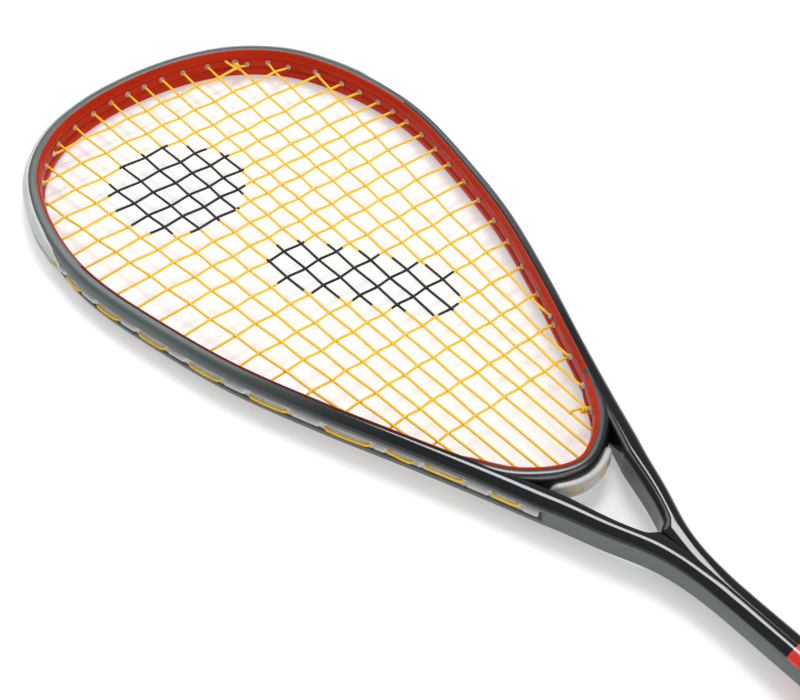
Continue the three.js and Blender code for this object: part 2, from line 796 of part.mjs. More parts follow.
// A rounded rectangle with real flats, square to Y.
function handleRing([halfWidth, halfDepth], y, corner = HANDLE_CORNER) {
  const points = [];
  const perCorner = 5;
  const radius = Math.min(corner, halfWidth * 0.9, halfDepth * 0.9);
  for (let quarter = 0; quarter < 4; quarter += 1) {
    const centreX = (quarter === 0 || quarter === 3 ? 1 : -1) * (halfWidth - radius);
    const centreZ = (quarter < 2 ? 1 : -1) * (halfDepth - radius);
    for (let i = 0; i < perCorner; i += 1) {
      const angle = (Math.PI / 2) * (quarter + i / (perCorner - 1));
      points.push([centreX + radius * Math.cos(angle), y, centreZ + radius * Math.sin(angle)]);
    }
  }
  return points;
}

const grown = (half, amount) => [half[0] + amount, half[1] + amount];

// Half sizes of the handle foam at a height.
function foamHalf(y) {
  const t = THREE.MathUtils.clamp((y - FOAM_TAPER_START) / (FOAM_TOP - FOAM_TAPER_START), 0, 1);
  return [mix(FOAM_HALF[0], FOAM_TOP_HALF[0], t), mix(FOAM_HALF[1], FOAM_TOP_HALF[1], t)];
}

const WRAP_STEP = CAP_RIM + CLEARANCE; // the wrap steps down here from the cap to the foam

function wrapInnerHalf(y) {
  const over = y <= WRAP_STEP ? 2 * CLEARANCE + CAP_WALL : CLEARANCE;
  return grown(foamHalf(y), over);
}

function sleeve(heights, outerHalf, innerHalf) {
  const outside = heights.map((y) => handleRing(outerHalf(y), y));
  const inside = heights.map((y) => handleRing(innerHalf(y), y)).reverse();
  return loft([...outside, ...inside], true);
}

function stapleParts(side, margin) {
  const surface = FOAM_HALF[1] + CLEARANCE + CAP_WALL;
  const crownTop = surface - 0.2;
  const crownZ = side * (crownTop - STAPLE.wire / 2);
  const legLength = STAPLE.leg;
  const legZ = side * (crownTop - legLength / 2);
  const thick = STAPLE.wire + 2 * margin;
  const crown = box([STAPLE.width + 2 * margin, STAPLE.breadth + 2 * margin, thick], [0, STAPLE.at, crownZ]);
  const legs = [-1, 1].map((end) => {
    const x = end * (STAPLE.width - STAPLE.wire) / 2;
    return box([thick, STAPLE.breadth + 2 * margin, legLength + 2 * margin], [x, STAPLE.at, legZ]);
  });
  return joined([crown, ...legs]);
}

const staplePockets = joined([1, -1].map((side) => {
  const pocket = stapleParts(side, CLEARANCE);
  const skylight = box(
    [STAPLE.width + 2 * CLEARANCE, STAPLE.breadth + 2 * CLEARANCE, 2],
    [0, STAPLE.at, side * (FOAM_HALF[1] + CLEARANCE + CAP_WALL + 0.5)],
  );
  return pocket.add(skylight);
}));

function foamGeometry() {
  const heights = [FOAM_BOTTOM, FOAM_TAPER_START, FOAM_TOP];
  const bore = [SHAFT_HALF_WIDTH + SHAFT_FIT, SHAFT_HALF_DEPTH + SHAFT_FIT];
  const rings = heights.map((y) => handleRing(foamHalf(y), y));
  const core = toSolid(loft(rings));
  const ends = [FOAM_BOTTOM - 5, FOAM_TOP + 5];
  const hole = toSolid(loft(ends.map((y) => ellipseRing(bore[0], bore[1], y, 32))));
  return toGeometry(core.subtract(hole).subtract(staplePockets));
}

function buttCapGeometry() {
  const outer = [
    handleRing(grown(FOAM_HALF, CLEARANCE + CAP_WALL), CAP_RIM),
    handleRing(grown(FOAM_HALF, CLEARANCE + CAP_WALL), CAP_FLARE_START),
    handleRing(grown(CAP_FLARE_HALF, -0.8), CAP_FLARE_START - 0.2, HANDLE_CORNER + 3),
    handleRing(CAP_FLARE_HALF, CAP_FLARE_START - 1.4, HANDLE_CORNER + 3),
    handleRing(CAP_FLARE_HALF, BUTT_END + 2, HANDLE_CORNER + 3),
    handleRing(grown(CAP_FLARE_HALF, -0.8), BUTT_END + 0.6, HANDLE_CORNER + 3),
    handleRing(grown(CAP_FLARE_HALF, -2.4), BUTT_END, HANDLE_CORNER + 3),
  ];
  const pocket = [
    handleRing(grown(FOAM_HALF, CLEARANCE), CAP_RIM + 5),
    handleRing(grown(FOAM_HALF, CLEARANCE), BUTT_END + CAP_PLATE),
  ];
  return toGeometry(toSolid(loft(outer)).subtract(toSolid(loft(pocket))).subtract(staplePockets));
}

function wrapGeometry() {
  const heights = [WRAP_BOTTOM, WRAP_STEP, WRAP_STEP + 1.5, FOAM_TAPER_START, WRAP_TOP];
  const outerHalf = (y) => grown(wrapInnerHalf(y), WRAP_THICKNESS);
  return sleeve(heights, outerHalf, wrapInnerHalf);
}

const overWrap = (y, amount) => grown(foamHalf(y), CLEARANCE + WRAP_THICKNESS + amount);

function tapeGeometry() {
  const innerHalf = (y) => overWrap(y, CLEARANCE);
  const outerHalf = (y) => overWrap(y, CLEARANCE + TAPE_THICKNESS);
  return sleeve(TAPE_RANGE, outerHalf, innerHalf);
}

function collarGeometry() {
  const inside = (y) => overWrap(y, 2 * CLEARANCE + TAPE_THICKNESS);
  const neck = [SHAFT_HALF_WIDTH + SHAFT_FIT, SHAFT_HALF_DEPTH + SHAFT_FIT];
  const lip = FOAM_TOP + 1.2;
  const outer = [
    handleRing(grown(inside(COLLAR_RANGE[0]), COLLAR_THICKNESS - 0.5), COLLAR_RANGE[0]),
    handleRing(grown(inside(FOAM_TAPER_START), COLLAR_THICKNESS), FOAM_TAPER_START),
    handleRing(grown(inside(FOAM_TOP), COLLAR_THICKNESS), FOAM_TOP),
    handleRing(grown(neck, 2.2), COLLAR_RANGE[1]),
  ];
  const cavity = [
    handleRing(inside(COLLAR_RANGE[0]), COLLAR_RANGE[0] - 3),
    handleRing(inside(FOAM_TAPER_START), FOAM_TAPER_START),
    handleRing(inside(FOAM_TOP), FOAM_TOP),
    handleRing(grown(neck, 0.8), lip),
  ];
  const bore = [COLLAR_RANGE[0], COLLAR_RANGE[1] + 5].map((y) => ellipseRing(neck[0], neck[1], y, 32));
  return toGeometry(toSolid(loft(outer)).subtract(toSolid(loft(cavity))).subtract(toSolid(loft(bore))));
}

function plugGeometry() {
  const width = SHAFT_HALF_WIDTH - SHAFT_WALL - CLEARANCE;
  const depth = SHAFT_HALF_DEPTH - SHAFT_WALL - CLEARANCE;
  return loft(PLUG_RANGE.map((y) => ellipseRing(width, depth, y, 24)));
}

// ---------------------------------------------------------------------------
// Assembly
// ---------------------------------------------------------------------------

const racket = new THREE.Group();

function addPiece(name, geometry, material) {
  const mesh = new THREE.Mesh(geometry, material.clone());
  mesh.name = name;
  racket.add(mesh);
}

addPiece('frame_rail', frameGeometry(), graphitePaint);
addPiece('throat_bridge', bridgeGeometry(), blackPaint);
addPiece('head_bumper', bumperGeometry(), clearNylon);
addPiece('left_grommet_strip', sideStripGeometry(-1), clearNylon);
addPiece('right_grommet_strip', sideStripGeometry(1), clearNylon);
addPiece('throat_grommet_strip', bridgeStripGeometry(), clearNylon);
addPiece('string', toGeometry(stringSolid()), yellowString);
addPiece('shaft_foam_plug', plugGeometry(), greyFoam);
addPiece('handle_foam', foamGeometry(), handleFoam);
addPiece('butt_cap', buttCapGeometry(), blackPlastic);
addPiece('upper_cap_staple', toGeometry(stapleParts(1, 0)), stapleWire);
addPiece('lower_cap_staple', toGeometry(stapleParts(-1, 0)), stapleWire);
addPiece('grip_wrap', wrapGeometry(), blackGrip);
addPiece('grip_finishing_tape', tapeGeometry(), blackTape);
addPiece('grip_collar', collarGeometry(), blackRubber);

const tipEnd = HOOP_EDGE[0][1] + RAIL_WIDTH + Math.max(...BUMPER_HALF_SECTION.map(([outset]) => outset));
racket.position.set(0, -(tipEnd + BUTT_END) / 2, CAP_FLARE_HALF[1]);

const part = new THREE.Group();
part.add(racket);

export default part;
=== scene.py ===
"""Looks of the squash racket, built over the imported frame.

Shapes are worked out in millimetres in the racket's own frame: X across the head, Y towards the
tip, Z square to the string plane at Z = 0. to_row() moves them into the row frame in metres.
"""

import math

import bmesh
import bpy
import numpy as np
from mathutils import Matrix, Vector


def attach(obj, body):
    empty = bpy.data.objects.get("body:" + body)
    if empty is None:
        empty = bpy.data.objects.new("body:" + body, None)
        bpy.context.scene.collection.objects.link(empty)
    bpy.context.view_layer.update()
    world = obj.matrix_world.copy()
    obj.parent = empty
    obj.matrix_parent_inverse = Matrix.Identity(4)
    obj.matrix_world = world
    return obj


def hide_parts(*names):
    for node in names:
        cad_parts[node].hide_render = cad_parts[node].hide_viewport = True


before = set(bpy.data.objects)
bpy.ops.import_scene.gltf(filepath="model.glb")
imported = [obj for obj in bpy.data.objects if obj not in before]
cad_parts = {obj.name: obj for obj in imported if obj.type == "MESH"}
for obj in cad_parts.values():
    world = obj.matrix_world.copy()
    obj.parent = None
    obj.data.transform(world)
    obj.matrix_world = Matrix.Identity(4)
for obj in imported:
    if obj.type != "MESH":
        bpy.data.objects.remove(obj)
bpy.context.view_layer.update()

# ---- Camera ----

CAMERA_AT = (-0.2875, -0.2491, 0.4779)
CAMERA_RIGHT = Vector((0.7713, -0.6364, -0.0080))
CAMERA_UP = Vector((0.4675, 0.5579, 0.6858))
CAMERA_BACK = Vector((-0.4320, -0.5327, 0.7278))

LENS, SENSOR_WIDTH = 63.0, 36.0  # millimetres

camera_data = bpy.data.cameras.new("camera")
camera_data.lens = LENS
camera_data.sensor_width = SENSOR_WIDTH
camera_data.clip_start = 0.01
camera_data.clip_end = 30.0
camera = bpy.data.objects.new("camera", camera_data)
turn = Matrix((CAMERA_RIGHT, CAMERA_UP, CAMERA_BACK)).transposed().to_4x4()
camera.matrix_world = Matrix.Translation(CAMERA_AT) @ turn
bpy.context.scene.collection.objects.link(camera)
bpy.context.scene.camera = camera

# ---- Driving dimensions, as in the frame ----

ROW_SHIFT = np.array([0.0, 183.3, 15.6])  # from the racket's frame to the row frame

# the right half of the hoop's inner edge, from the tip to the throat
HOOP_EDGE = [
    (0, 150.4), (29, 147.3), (56, 136.8), (77.5, 116.5), (90.5, 88),
    (96.9, 55), (97, 25), (90.5, -12), (79, -58), (63, -101),
    (45.5, -142), (34.5, -164), (21, -183.5), (0, -194.5),
]
HOOP_SPANS = 11  # how many of these knots the rail follows
HOOP_SAMPLES = 1440
RAIL_WIDTH = 7.1
WALL_HEIGHT = 7.4
# half depth of the wall and of the crest, the crest's place as a share of the width, groove depth
HOOP_SECTION = (WALL_HEIGHT, 8.6, 0.27, 2.2)
# down the arms: inner x, inner y, outer x, outer y, and the section as above
THROAT_STATIONS = [
    (31.2, -174, 38.7, -177.4, 7.2, 8.6, 0.3, 2.2),
    (19.5, -200, 28.4, -204, 6.2, 8.5, 0.38, 2.2),
    (16.6, -206.5, 25.3, -210.6, 5.6, 8.5, 0.4, 0),
    (12, -220.7, 20.2, -225, 4.8, 8.4, 0.42, 0),
    (8.4, -230.5, 16.1, -234.6, 4.5, 8.3, 0.42, 0),
    (4.6, -238.2, 12.9, -241.6, 4.2, 8.2, 0.4, 0),
    (0, -241.8, 10.6, -247, 4.2, 8.1, 0.58, 0),
    (0, -247, 9, -253, 5.6, 8, 0.51, 0),
    (0, -254, 7.7, -260, 7, 7.8, 0.39, 0),
    (0, -263, 6.8, -268, 7.5, 7.6, 0.26, 0),
    (0, -280, 6.4, -280, 7.38, 7.4, 0.12, 0),
]
ROUNDNESS = 2.6  # power of the curve from the crest to the outer side
SHAFT_END = -519.5
SHAFT_HALF_WIDTH = 6.4

STRING_RADIUS = 0.66
STRING_SIDES = 8
GIRTH = 3.8  # how far the material's pattern goes round a string
LAYER = 0.75  # the mains leave the hoop this far above the string plane, the crosses below
MAIN_WAVE = 0.42  # how far a main rises and dips where it meets a cross
CROSS_WAVE = 0.55
CROSSING_SHARE = 0.14  # share of a span in which a string bends round the one it crosses
EASING_SHARES = (0, 0.05, 0.1, 0.15, 0.5, 0.85, 0.9, 0.95)
END_SHARE = 0.005  # a crossing nearer than this to a main's end is left out
MAIN_OFFSETS = [4.9, 14.3, 24.5, 35.3, 46.1, 57.4, 71]
MAIN_FAN = 0.00024  # how the mains spread towards the tip
TOP_CROSS = 132
CROSS_GAPS = [17, 16.5, 15, 12.5, 13.5, 11.5, 12, 13.5, 14, 14]
CROSS_GAPS += [15.5, 15.5, 16.5, 16, 17.5, 18.5, 19.5, 19]
LOWER_MAIN_DIPS = [87, 52, 42, 38, 38]  # degrees down of the outer mains' lower holes
TIP_TIE_MAIN = 11  # the mains that the string's two ends are hitched round
THROAT_TIE_MAIN = 10
BEND_STAND = 1.4  # a string bends this far inside the wall
LOOP_OUTSET = -0.1  # the loops' middle line, from the rail's outer edge
LOOP_BOW = 0.35  # a loop stands this much further out in its middle
LOOP_SAG = 0.5  # the same for the loops under the bridge
BRIDGE_LOOP_STAND = 9.2
HITCH_TURNS, HITCH_STEPS = 2, 14
HITCH_START, HITCH_PITCH, HITCH_RADIUS = -2.0, 1.35, 1.22  # the start is inside the wall
INK_REACH = 1.6  # ink stays on strings this near the string plane
DISC_CENTRE, DISC_RADIUS = (-28, 66), 35
BAR_CENTRE, BAR_TURN, BAR_HALF = (4, -46), (0.56, 0.83), (48, 17)
BUMPER_END = 52  # heights where the bumper and the side strips end
STRIP_END = -202

# ---- Plane geometry ----


def to_row(points):
    """Metres in the row frame from millimetres in the racket's frame."""
    return (np.asarray(points, float) + ROW_SHIFT) / 1000


def unit(v):
    v = np.asarray(v, float)
    return v / np.linalg.norm(v)


def smooth_step(low, high, value):
    t = np.clip((value - low) / (high - low), 0, 1)
    return t * t * (3 - 2 * t)


CURVE_STEPS = 60


def closed_curve(points):
    """A closed centripetal Catmull-Rom curve through the points."""
    points = np.asarray(points, float)
    count = len(points)
    out = []
    for i in range(count):
        p0, p1, p2, p3 = (points[(i + k) % count] for k in (-1, 0, 1, 2))
        d0 = math.sqrt(np.linalg.norm(p1 - p0))
        d1 = math.sqrt(np.linalg.norm(p2 - p1))
        d2 = math.sqrt(np.linalg.norm(p3 - p2))
        t1 = ((p1 - p0) / d0 - (p2 - p0) / (d0 + d1) + (p2 - p1) / d1) * d1
        t2 = ((p2 - p1) / d1 - (p3 - p1) / (d1 + d2) + (p3 - p2) / d2) * d1
        for k in range(CURVE_STEPS):
            t = k / CURVE_STEPS
            cubic = 2 * p1 - 2 * p2 + t1 + t2
            square = -3 * p1 + 3 * p2 - 2 * t1 - t2
            out.append(p1 + t1 * t + square * t * t + cubic * t**3)
    return np.array(out)


def distances(path):
    """The distance along a polyline to each of its points."""
    return np.concatenate([[0], np.cumsum(np.linalg.norm(np.diff(path, axis=0), axis=1))])


def even_samples(points, count):
    """Evenly spaced samples of a closed polyline."""
    loop = np.vstack([points, points[:1]])
    along = distances(loop)
    wanted = np.linspace(0, along[-1], count, endpoint=False)
    return np.stack([np.interp(wanted, along, loop[:, k]) for k in range(loop.shape[1])], axis=1)


mirrored_edge = [(-x, y) for x, y in HOOP_EDGE[1:-1]][::-1]
hoop = even_samples(closed_curve(HOOP_EDGE + mirrored_edge), HOOP_SAMPLES)
hoop_tangent = np.roll(hoop, -1, axis=0) - np.roll(hoop, 1, axis=0)
hoop_tangent /= np.linalg.norm(hoop_tangent, axis=1)[:, None]
hoop_out = np.stack([-hoop_tangent[:, 1], hoop_tangent[:, 0]], axis=1)


def meet_hoop(origin, direction, stand):
    """Where a line from the origin meets the hoop's edge, moved out by stand, and the way out."""
    line = hoop + hoop_out * stand
    off = line - origin
    side = off[:, 0] * direction[1] - off[:, 1] * direction[0]
    ahead = off @ np.asarray(direction)
    nxt = np.roll(side, -1)
    i = np.flatnonzero((side * nxt <= 0) & (side != nxt) & (ahead > 0))[0]
    t = side[i] / (side[i] - nxt[i])
    point = line[i] + (np.roll(line, -1, axis=0)[i] - line[i]) * t
    return point, hoop_out[i]


# ---- Rail stations ----


def hoop_knot(x, y):
    """The rail's values at a point of the hoop's inner edge."""
    nearest = np.argmin(np.linalg.norm(hoop - (x, y), axis=1))
    out = np.array([0.0, 1.0]) if x == 0 else hoop_out[nearest]
    outer = np.array([x, y]) + out * RAIL_WIDTH
    return (x, y, outer[0], outer[1], *HOOP_SECTION)


knots = np.array([hoop_knot(x, y) for x, y in HOOP_EDGE[:HOOP_SPANS]] + THROAT_STATIONS, float)


def rail_at(s):
    """The rail's values at station s, on a Catmull-Rom curve through the knots."""
    k = min(int(math.floor(s)), len(knots) - 2)
    t = s - k
    before = knots[k - 1] if k > 0 else knots[1] * np.array([-1, 1, -1, 1, 1, 1, 1, 1])
    a, b = knots[k], knots[k + 1]
    after = knots[min(k + 2, len(knots) - 1)]
    v = (
        2 * a
        + (b - before) * t
        + (2 * before - 5 * a + 4 * b - after) * t * t
        + (3 * a - before - 3 * b + after) * t**3
    ) / 2
    v[0] = max(v[0], 0.0)
    v[7] = max(v[7], 0.0)
    return v


def over_rail(s, outset):
    """A point outset from the rail's outer edge at a signed station, negative on the left."""
    v = rail_at(abs(s))
    inner, outer = v[0:2], v[2:4]
    point = outer + unit(outer - inner) * outset
    if s < 0:
        point = point * np.array([-1, 1])
    return point


def station_at_height(y):
    """The station where the rail's outer edge passes this height."""
    low, high = 0.0, len(knots) - 1.0
    for _ in range(40):
        middle = (low + high) / 2
        if rail_at(middle)[3] > y:
            low = middle
        else:
            high = middle
    return low


SEARCH_STEP = 0.02  # of a station


def leave_rail(origin, direction, outset):
    """The signed station where a line from the origin leaves the rail."""
    side = -1 if origin[0] < 0 else 1
    steps = np.arange(0, HOOP_SPANS + 2 + SEARCH_STEP, SEARCH_STEP)
    points = np.array([over_rail(s * side, outset) for s in steps])
    off = points - origin
    across = off[:, 0] * direction[1] - off[:, 1] * direction[0]
    ahead = off @ np.asarray(direction)
    i = np.flatnonzero((across[:-1] * across[1:] <= 0) & (ahead[:-1] > 0))[0]
    share = across[i] / (across[i] - across[i + 1])
    return side * (steps[i] + share * SEARCH_STEP)


# ---- Mesh making ----


class Pile:
    """Collects several grids of points into one mesh. Each ring of a grid closes on itself."""

    def __init__(self):
        self.points, self.faces, self.tags, self.uvs = [], [], [], []
        self.count = 0

    def grid(self, rings, tags=0, caps=False, uvs=None):
        rings = np.asarray(rings, float)
        rows, cols = rings.shape[:2]
        base = self.count
        self.points.append(rings.reshape(-1, 3))
        if uvs is None:
            uvs = np.stack(np.meshgrid(np.linspace(0, 1, cols), np.linspace(0, 1, rows)), axis=-1)
        self.uvs.append(uvs.reshape(-1, 2))
        for r in range(rows - 1):
            for c in range(cols):
                d = (c + 1) % cols
                row, above = base + r * cols, base + (r + 1) * cols
                self.faces.append((row + c, row + d, above + d, above + c))
                self.tags.append(tags if np.isscalar(tags) else tags[r][c])
        if caps:
            cap_tag = tags if np.isscalar(tags) else tags[0][0]
            self.faces.append(tuple(base + c for c in range(cols))[::-1])
            self.faces.append(tuple(base + (rows - 1) * cols + c for c in range(cols)))
            self.tags += [cap_tag, cap_tag]
        self.count += rows * cols

    def build(self, name, materials, weld_at=None, fill=False):
        """The object, with its faces outwards, points this close (m) welded and open ends filled."""
        mesh = bpy.data.meshes.new(name)
        mesh.from_pydata(to_row(np.vstack(self.points)).tolist(), [], self.faces)
        for used in materials:
            mesh.materials.append(used)
        mesh.polygons.foreach_set("material_index", np.asarray(self.tags, dtype=np.int32))
        mesh.polygons.foreach_set("use_smooth", [True] * len(mesh.polygons))
        layer = mesh.uv_layers.new(name="UVMap")
        corners = np.empty(len(mesh.loops), dtype=np.int32)
        mesh.loops.foreach_get("vertex_index", corners)
        layer.data.foreach_set("uv", np.vstack(self.uvs)[corners].ravel())
        mesh.update()
        obj = bpy.data.objects.new(name, mesh)
        bpy.context.scene.collection.objects.link(obj)
        bm = bmesh.new()
        bm.from_mesh(mesh)
        if weld_at is not None:
            bmesh.ops.remove_doubles(bm, verts=bm.verts, dist=weld_at)
        if fill:
            bmesh.ops.holes_fill(bm, edges=[edge for edge in bm.edges if edge.is_boundary], sides=0)
        bmesh.ops.recalc_face_normals(bm, faces=bm.faces)
        bm.to_mesh(mesh)
        bm.free()
        mesh.update()
        return obj


def tube(path, radius):
    """Rings of a round cord along a polyline, without twist."""
    path = np.asarray(path, float)
    tangent = np.gradient(path, axis=0)
    tangent /= np.maximum(np.linalg.norm(tangent, axis=1), 1e-9)[:, None]
    up = np.array([0.0, 0.0, 1.0])
    side = np.cross(tangent[0], up)
    side = unit(side) if np.linalg.norm(side) > 1e-6 else np.array([1.0, 0.0, 0.0])
    angles = np.linspace(0, 2 * math.pi, STRING_SIDES, endpoint=False)
    rings = []
    for point, t in zip(path, tangent):
        side = unit(side - t * (side @ t))
        other = np.cross(side, t)
        round_point = np.cos(angles)[:, None] * side + np.sin(angles)[:, None] * other
        rings.append(point + radius * round_point)
    return np.array(rings)


SMOOTHING_ROUNDS = 2


def refined(path, spacing):
    """A polyline with even steps and rounded corners."""
    path = np.asarray(path, float)
    steps = np.linalg.norm(np.diff(path, axis=0), axis=1)
    path = path[np.concatenate([[True], steps > 1e-6])]
    along = distances(path)
    count = max(int(along[-1] / spacing), 2)
    wanted = np.linspace(0, along[-1], count + 1)
    fine = np.stack([np.interp(wanted, along, path[:, k]) for k in range(3)], axis=1)
    for _ in range(SMOOTHING_ROUNDS):
        fine[1:-1] = (fine[:-2] + 2 * fine[1:-1] + fine[2:]) / 4
    return fine


# ---- Materials ----


class Look:
    """A principled material and the node recipes that the pieces share."""

    def __init__(self, name, color, roughness, metallic=0.0, **sockets):
        self.mat = bpy.data.materials.new(name)
        self.mat.use_nodes = True
        self.nodes = self.mat.node_tree.nodes
        self.links = self.mat.node_tree.links
        self.shader = self.nodes["Principled BSDF"]
        sockets.update(Base_Color=(*color, 1), Roughness=roughness, Metallic=metallic)
        for key, value in sockets.items():
            self.shader.inputs[key.replace("_", " ")].default_value = value

    def drive(self, socket_name, value):
        self.links.new(value, self.shader.inputs[socket_name])

    def feed(self, socket, value):
        """Sets a node's socket to a number or colour, or links it to another node's output."""
        if isinstance(value, (int, float)):
            socket.default_value = value
        elif isinstance(value, tuple):
            socket.default_value = (*value, 1)
        else:
            self.links.new(value, socket)

    def node(self, kind, **settings):
        made = self.nodes.new(kind)
        for key, value in settings.items():
            setattr(made, key, value)
        return made

    def place(self, kind="Object"):
        return self.node("ShaderNodeTexCoord").outputs[kind]

    def texture(self, kind, vector, settings=(), **sockets):
        made = self.node("ShaderNodeTex" + kind, **dict(settings))
        for key, value in sockets.items():
            made.inputs[key].default_value = value
        self.links.new(vector, made.inputs["Vector"])
        return made.outputs

    def noise(self, vector, scale, detail=4.0, rough=0.55):
        return self.texture("Noise", vector, Scale=scale, Detail=detail, Roughness=rough)["Fac"]

    def ramp(self, factor, low, high, start=0.3, end=0.7):
        made = self.node("ShaderNodeValToRGB")
        for element, spot, color in zip(made.color_ramp.elements, (start, end), (low, high)):
            element.position = spot
            element.color = (*color, 1)
        self.links.new(factor, made.inputs["Fac"])
        return made.outputs["Color"]

    def map_range(self, value, low, high, to_low, to_high):
        made = self.node("ShaderNodeMapRange", interpolation_type="SMOOTHSTEP")
        limits = {"From Min": low, "From Max": high, "To Min": to_low, "To Max": to_high}
        for key, number in limits.items():
            made.inputs[key].default_value = number
        self.links.new(value, made.inputs["Value"])
        return made.outputs["Result"]

    def compute(self, operation, *values):
        made = self.node("ShaderNodeMath", operation=operation)
        for socket, value in zip(made.inputs, values):
            self.feed(socket, value)
        return made.outputs[0]

    def mix(self, factor, a, b, blend="MIX"):
        made = self.node("ShaderNodeMix", data_type="RGBA", blend_type=blend)
        for index, value in ((0, factor), (6, a), (7, b)):
            self.feed(made.inputs[index], value)
        return made.outputs[2]

    def bump(self, height, strength, distance):
        made = self.node("ShaderNodeBump")
        made.inputs["Strength"].default_value = strength
        made.inputs["Distance"].default_value = distance
        self.links.new(height, made.inputs["Height"])
        self.drive("Normal", made.outputs["Normal"])


BLACK_START = 0.18  # row frame's Y in metres where the grey paint starts to darken
BLACK_FULL = 0.04
SIDE_EDGE = (0.0043, 0.0048)  # the rail's side stays grey up to this far from the string plane
BLACK_COLOR = (0.006, 0.0065, 0.007)


def hoop_paint():
    """Metallic grey on the head, turning to gloss black towards the throat."""
    look = Look("hoop_paint", (0.1, 0.11, 0.11), 0.25, Specular_IOR_Level=0.5)
    where = look.place()
    split = look.node("ShaderNodeSeparateXYZ")
    look.links.new(where, split.inputs["Vector"])
    waver = look.map_range(look.noise(where, 14.0, 2.0), 0.3, 0.7, -0.012, 0.012)
    height = look.compute("ADD", split.outputs["Y"], waver)
    lowered = look.map_range(height, BLACK_FULL, BLACK_START, 1.0, 0.0)
    level = look.compute("SUBTRACT", split.outputs["Z"], ROW_SHIFT[2] / 1000)
    on_top = look.map_range(look.compute("ABSOLUTE", level), *SIDE_EDGE, 0.0, 1.0)
    black = look.compute("MULTIPLY", lowered, on_top)
    flakes = look.noise(where, 4200.0, 1.0)
    grey = look.ramp(flakes, (0.09, 0.105, 0.104), (0.17, 0.193, 0.19), end=0.72)
    look.drive("Base Color", look.mix(black, grey, BLACK_COLOR))
    look.drive("Metallic", look.map_range(black, 0.0, 1.0, 0.62, 0.0))
    look.drive("Roughness", look.map_range(black, 0.0, 1.0, 0.44, 0.09))
    return look.mat


def gloss_black(name, level, low, high):
    look = Look(name, BLACK_COLOR, low, Specular_IOR_Level=level)
    grain = look.noise(look.place(), 900.0, 3.0)
    look.drive("Base Color", look.ramp(grain, (0.005, 0.0055, 0.006), (0.009, 0.0095, 0.01)))
    look.drive("Roughness", look.map_range(grain, 0.2, 0.8, low, high))
    return look.mat


def inner_red():
    """Satin red with faint streaks along the rail."""
    look = Look("inner_red_paint", (0.5, 0.03, 0.008), 0.45, Specular_IOR_Level=0.06)
    stretch = look.node("ShaderNodeMapping")
    stretch.inputs["Scale"].default_value = (1, 1, 5)
    look.links.new(look.place(), stretch.inputs["Vector"])
    streaks = look.noise(stretch.outputs[0], 40.0, 3.0)
    tint = look.ramp(streaks, (0.39, 0.018, 0.004), (0.49, 0.026, 0.005), 0.25, 0.75)
    look.drive("Base Color", tint)
    look.drive("Roughness", look.map_range(streaks, 0.3, 0.7, 0.24, 0.36))
    return look.mat


def accent_red():
    look = Look("accent_red_paint", (0.62, 0.02, 0.015), 0.18, Coat_Weight=0.6, Coat_Roughness=0.03)
    soft = look.noise(look.place(), 300.0, 3.0)
    look.drive("Base Color", look.ramp(soft, (0.55, 0.016, 0.012), (0.68, 0.026, 0.018)))
    return look.mat


def clear_plastic(name, low, high, weight):
    look = Look(name, low, 0.3, Transmission_Weight=weight, IOR=1.46)
    where = look.place()
    cloud = look.noise(where, 60.0, 3.0)
    look.drive("Base Color", look.ramp(cloud, low, high))
    look.drive("Roughness", look.map_range(cloud, 0.3, 0.7, 0.22, 0.4))
    look.bump(look.noise(where, 700.0, 3.0), 0.06, 0.0002)
    return look.mat


def string_material(name, dark, light, roughness):
    """Twisted filament: a fine diagonal wave round the cord, and soft patches along it."""
    look = Look(name, light, roughness, Specular_IOR_Level=0.4)
    diagonal = {"bands_direction": "DIAGONAL"}
    wave = look.texture("Wave", look.place("UV"), diagonal, Scale=3.0, Distortion=0.4)["Fac"]
    patch = look.noise(look.place(), 260.0, 3.0)
    both = look.mix(0.35, patch, wave)
    look.drive("Base Color", look.ramp(both, dark, light, 0.25))
    look.bump(wave, 0.3, 0.00008)
    return look.mat


# Painted shade: the near-black colour of the discs set in the barrels' bores, standing in for the
# shade inside them.
def painted_bore_shade():
    look = Look("bore_shadow", (0.02, 0.012, 0.01), 0.6)
    soft = look.noise(look.place(), 500.0)
    look.drive("Base Color", look.ramp(soft, (0.012, 0.008, 0.007), (0.03, 0.018, 0.014)))
    return look.mat


def grip_material():
    """Perforated synthetic grip: fine leather grain with rows of small holes along the ribbon, the
    holes darkened with painted shade.
    """
    look = Look("grip_ribbon", (0.03, 0.03, 0.032), 0.75)
    where = look.place()
    dots = look.texture("Voronoi", look.place("UV"), {"feature": "F1"}, Scale=1.0, Randomness=0.0)
    hole_dip_and_shade = look.map_range(dots["Distance"], 0.13, 0.2, 0.0, 1.0)
    grain = look.noise(where, 2600.0, 5.0, 0.65)
    cells = look.texture("Voronoi", where, {"feature": "DISTANCE_TO_EDGE"}, Scale=1300.0)
    scuff = look.noise(where, 60.0, 4.0)
    base = look.ramp(scuff, (0.018, 0.018, 0.02), (0.036, 0.036, 0.039))
    # painted shade: the holes are coloured near black for the shade inside them; the same mask also
    # sinks them in the bump
    look.drive("Base Color", look.mix(hole_dip_and_shade, (0.004, 0.004, 0.004), base))
    look.drive("Roughness", look.map_range(scuff, 0.3, 0.7, 0.62, 0.82))
    relief = look.mix(0.5, cells["Distance"], grain)
    look.bump(look.mix(1.0, relief, hole_dip_and_shade, "MULTIPLY"), 0.6, 0.0004)
    return look.mat


def moulded(name, low, high, roughness, scale=1500.0, strength=0.3):
    look = Look(name, low, roughness)
    where = look.place()
    soft = look.noise(where, 70.0, 3.0)
    look.drive("Base Color", look.ramp(soft, low, high))
    look.drive("Roughness", look.map_range(soft, 0.3, 0.7, roughness - 0.06, roughness + 0.08))
    look.bump(look.noise(where, scale, 4.0), strength, 0.0002)
    return look.mat


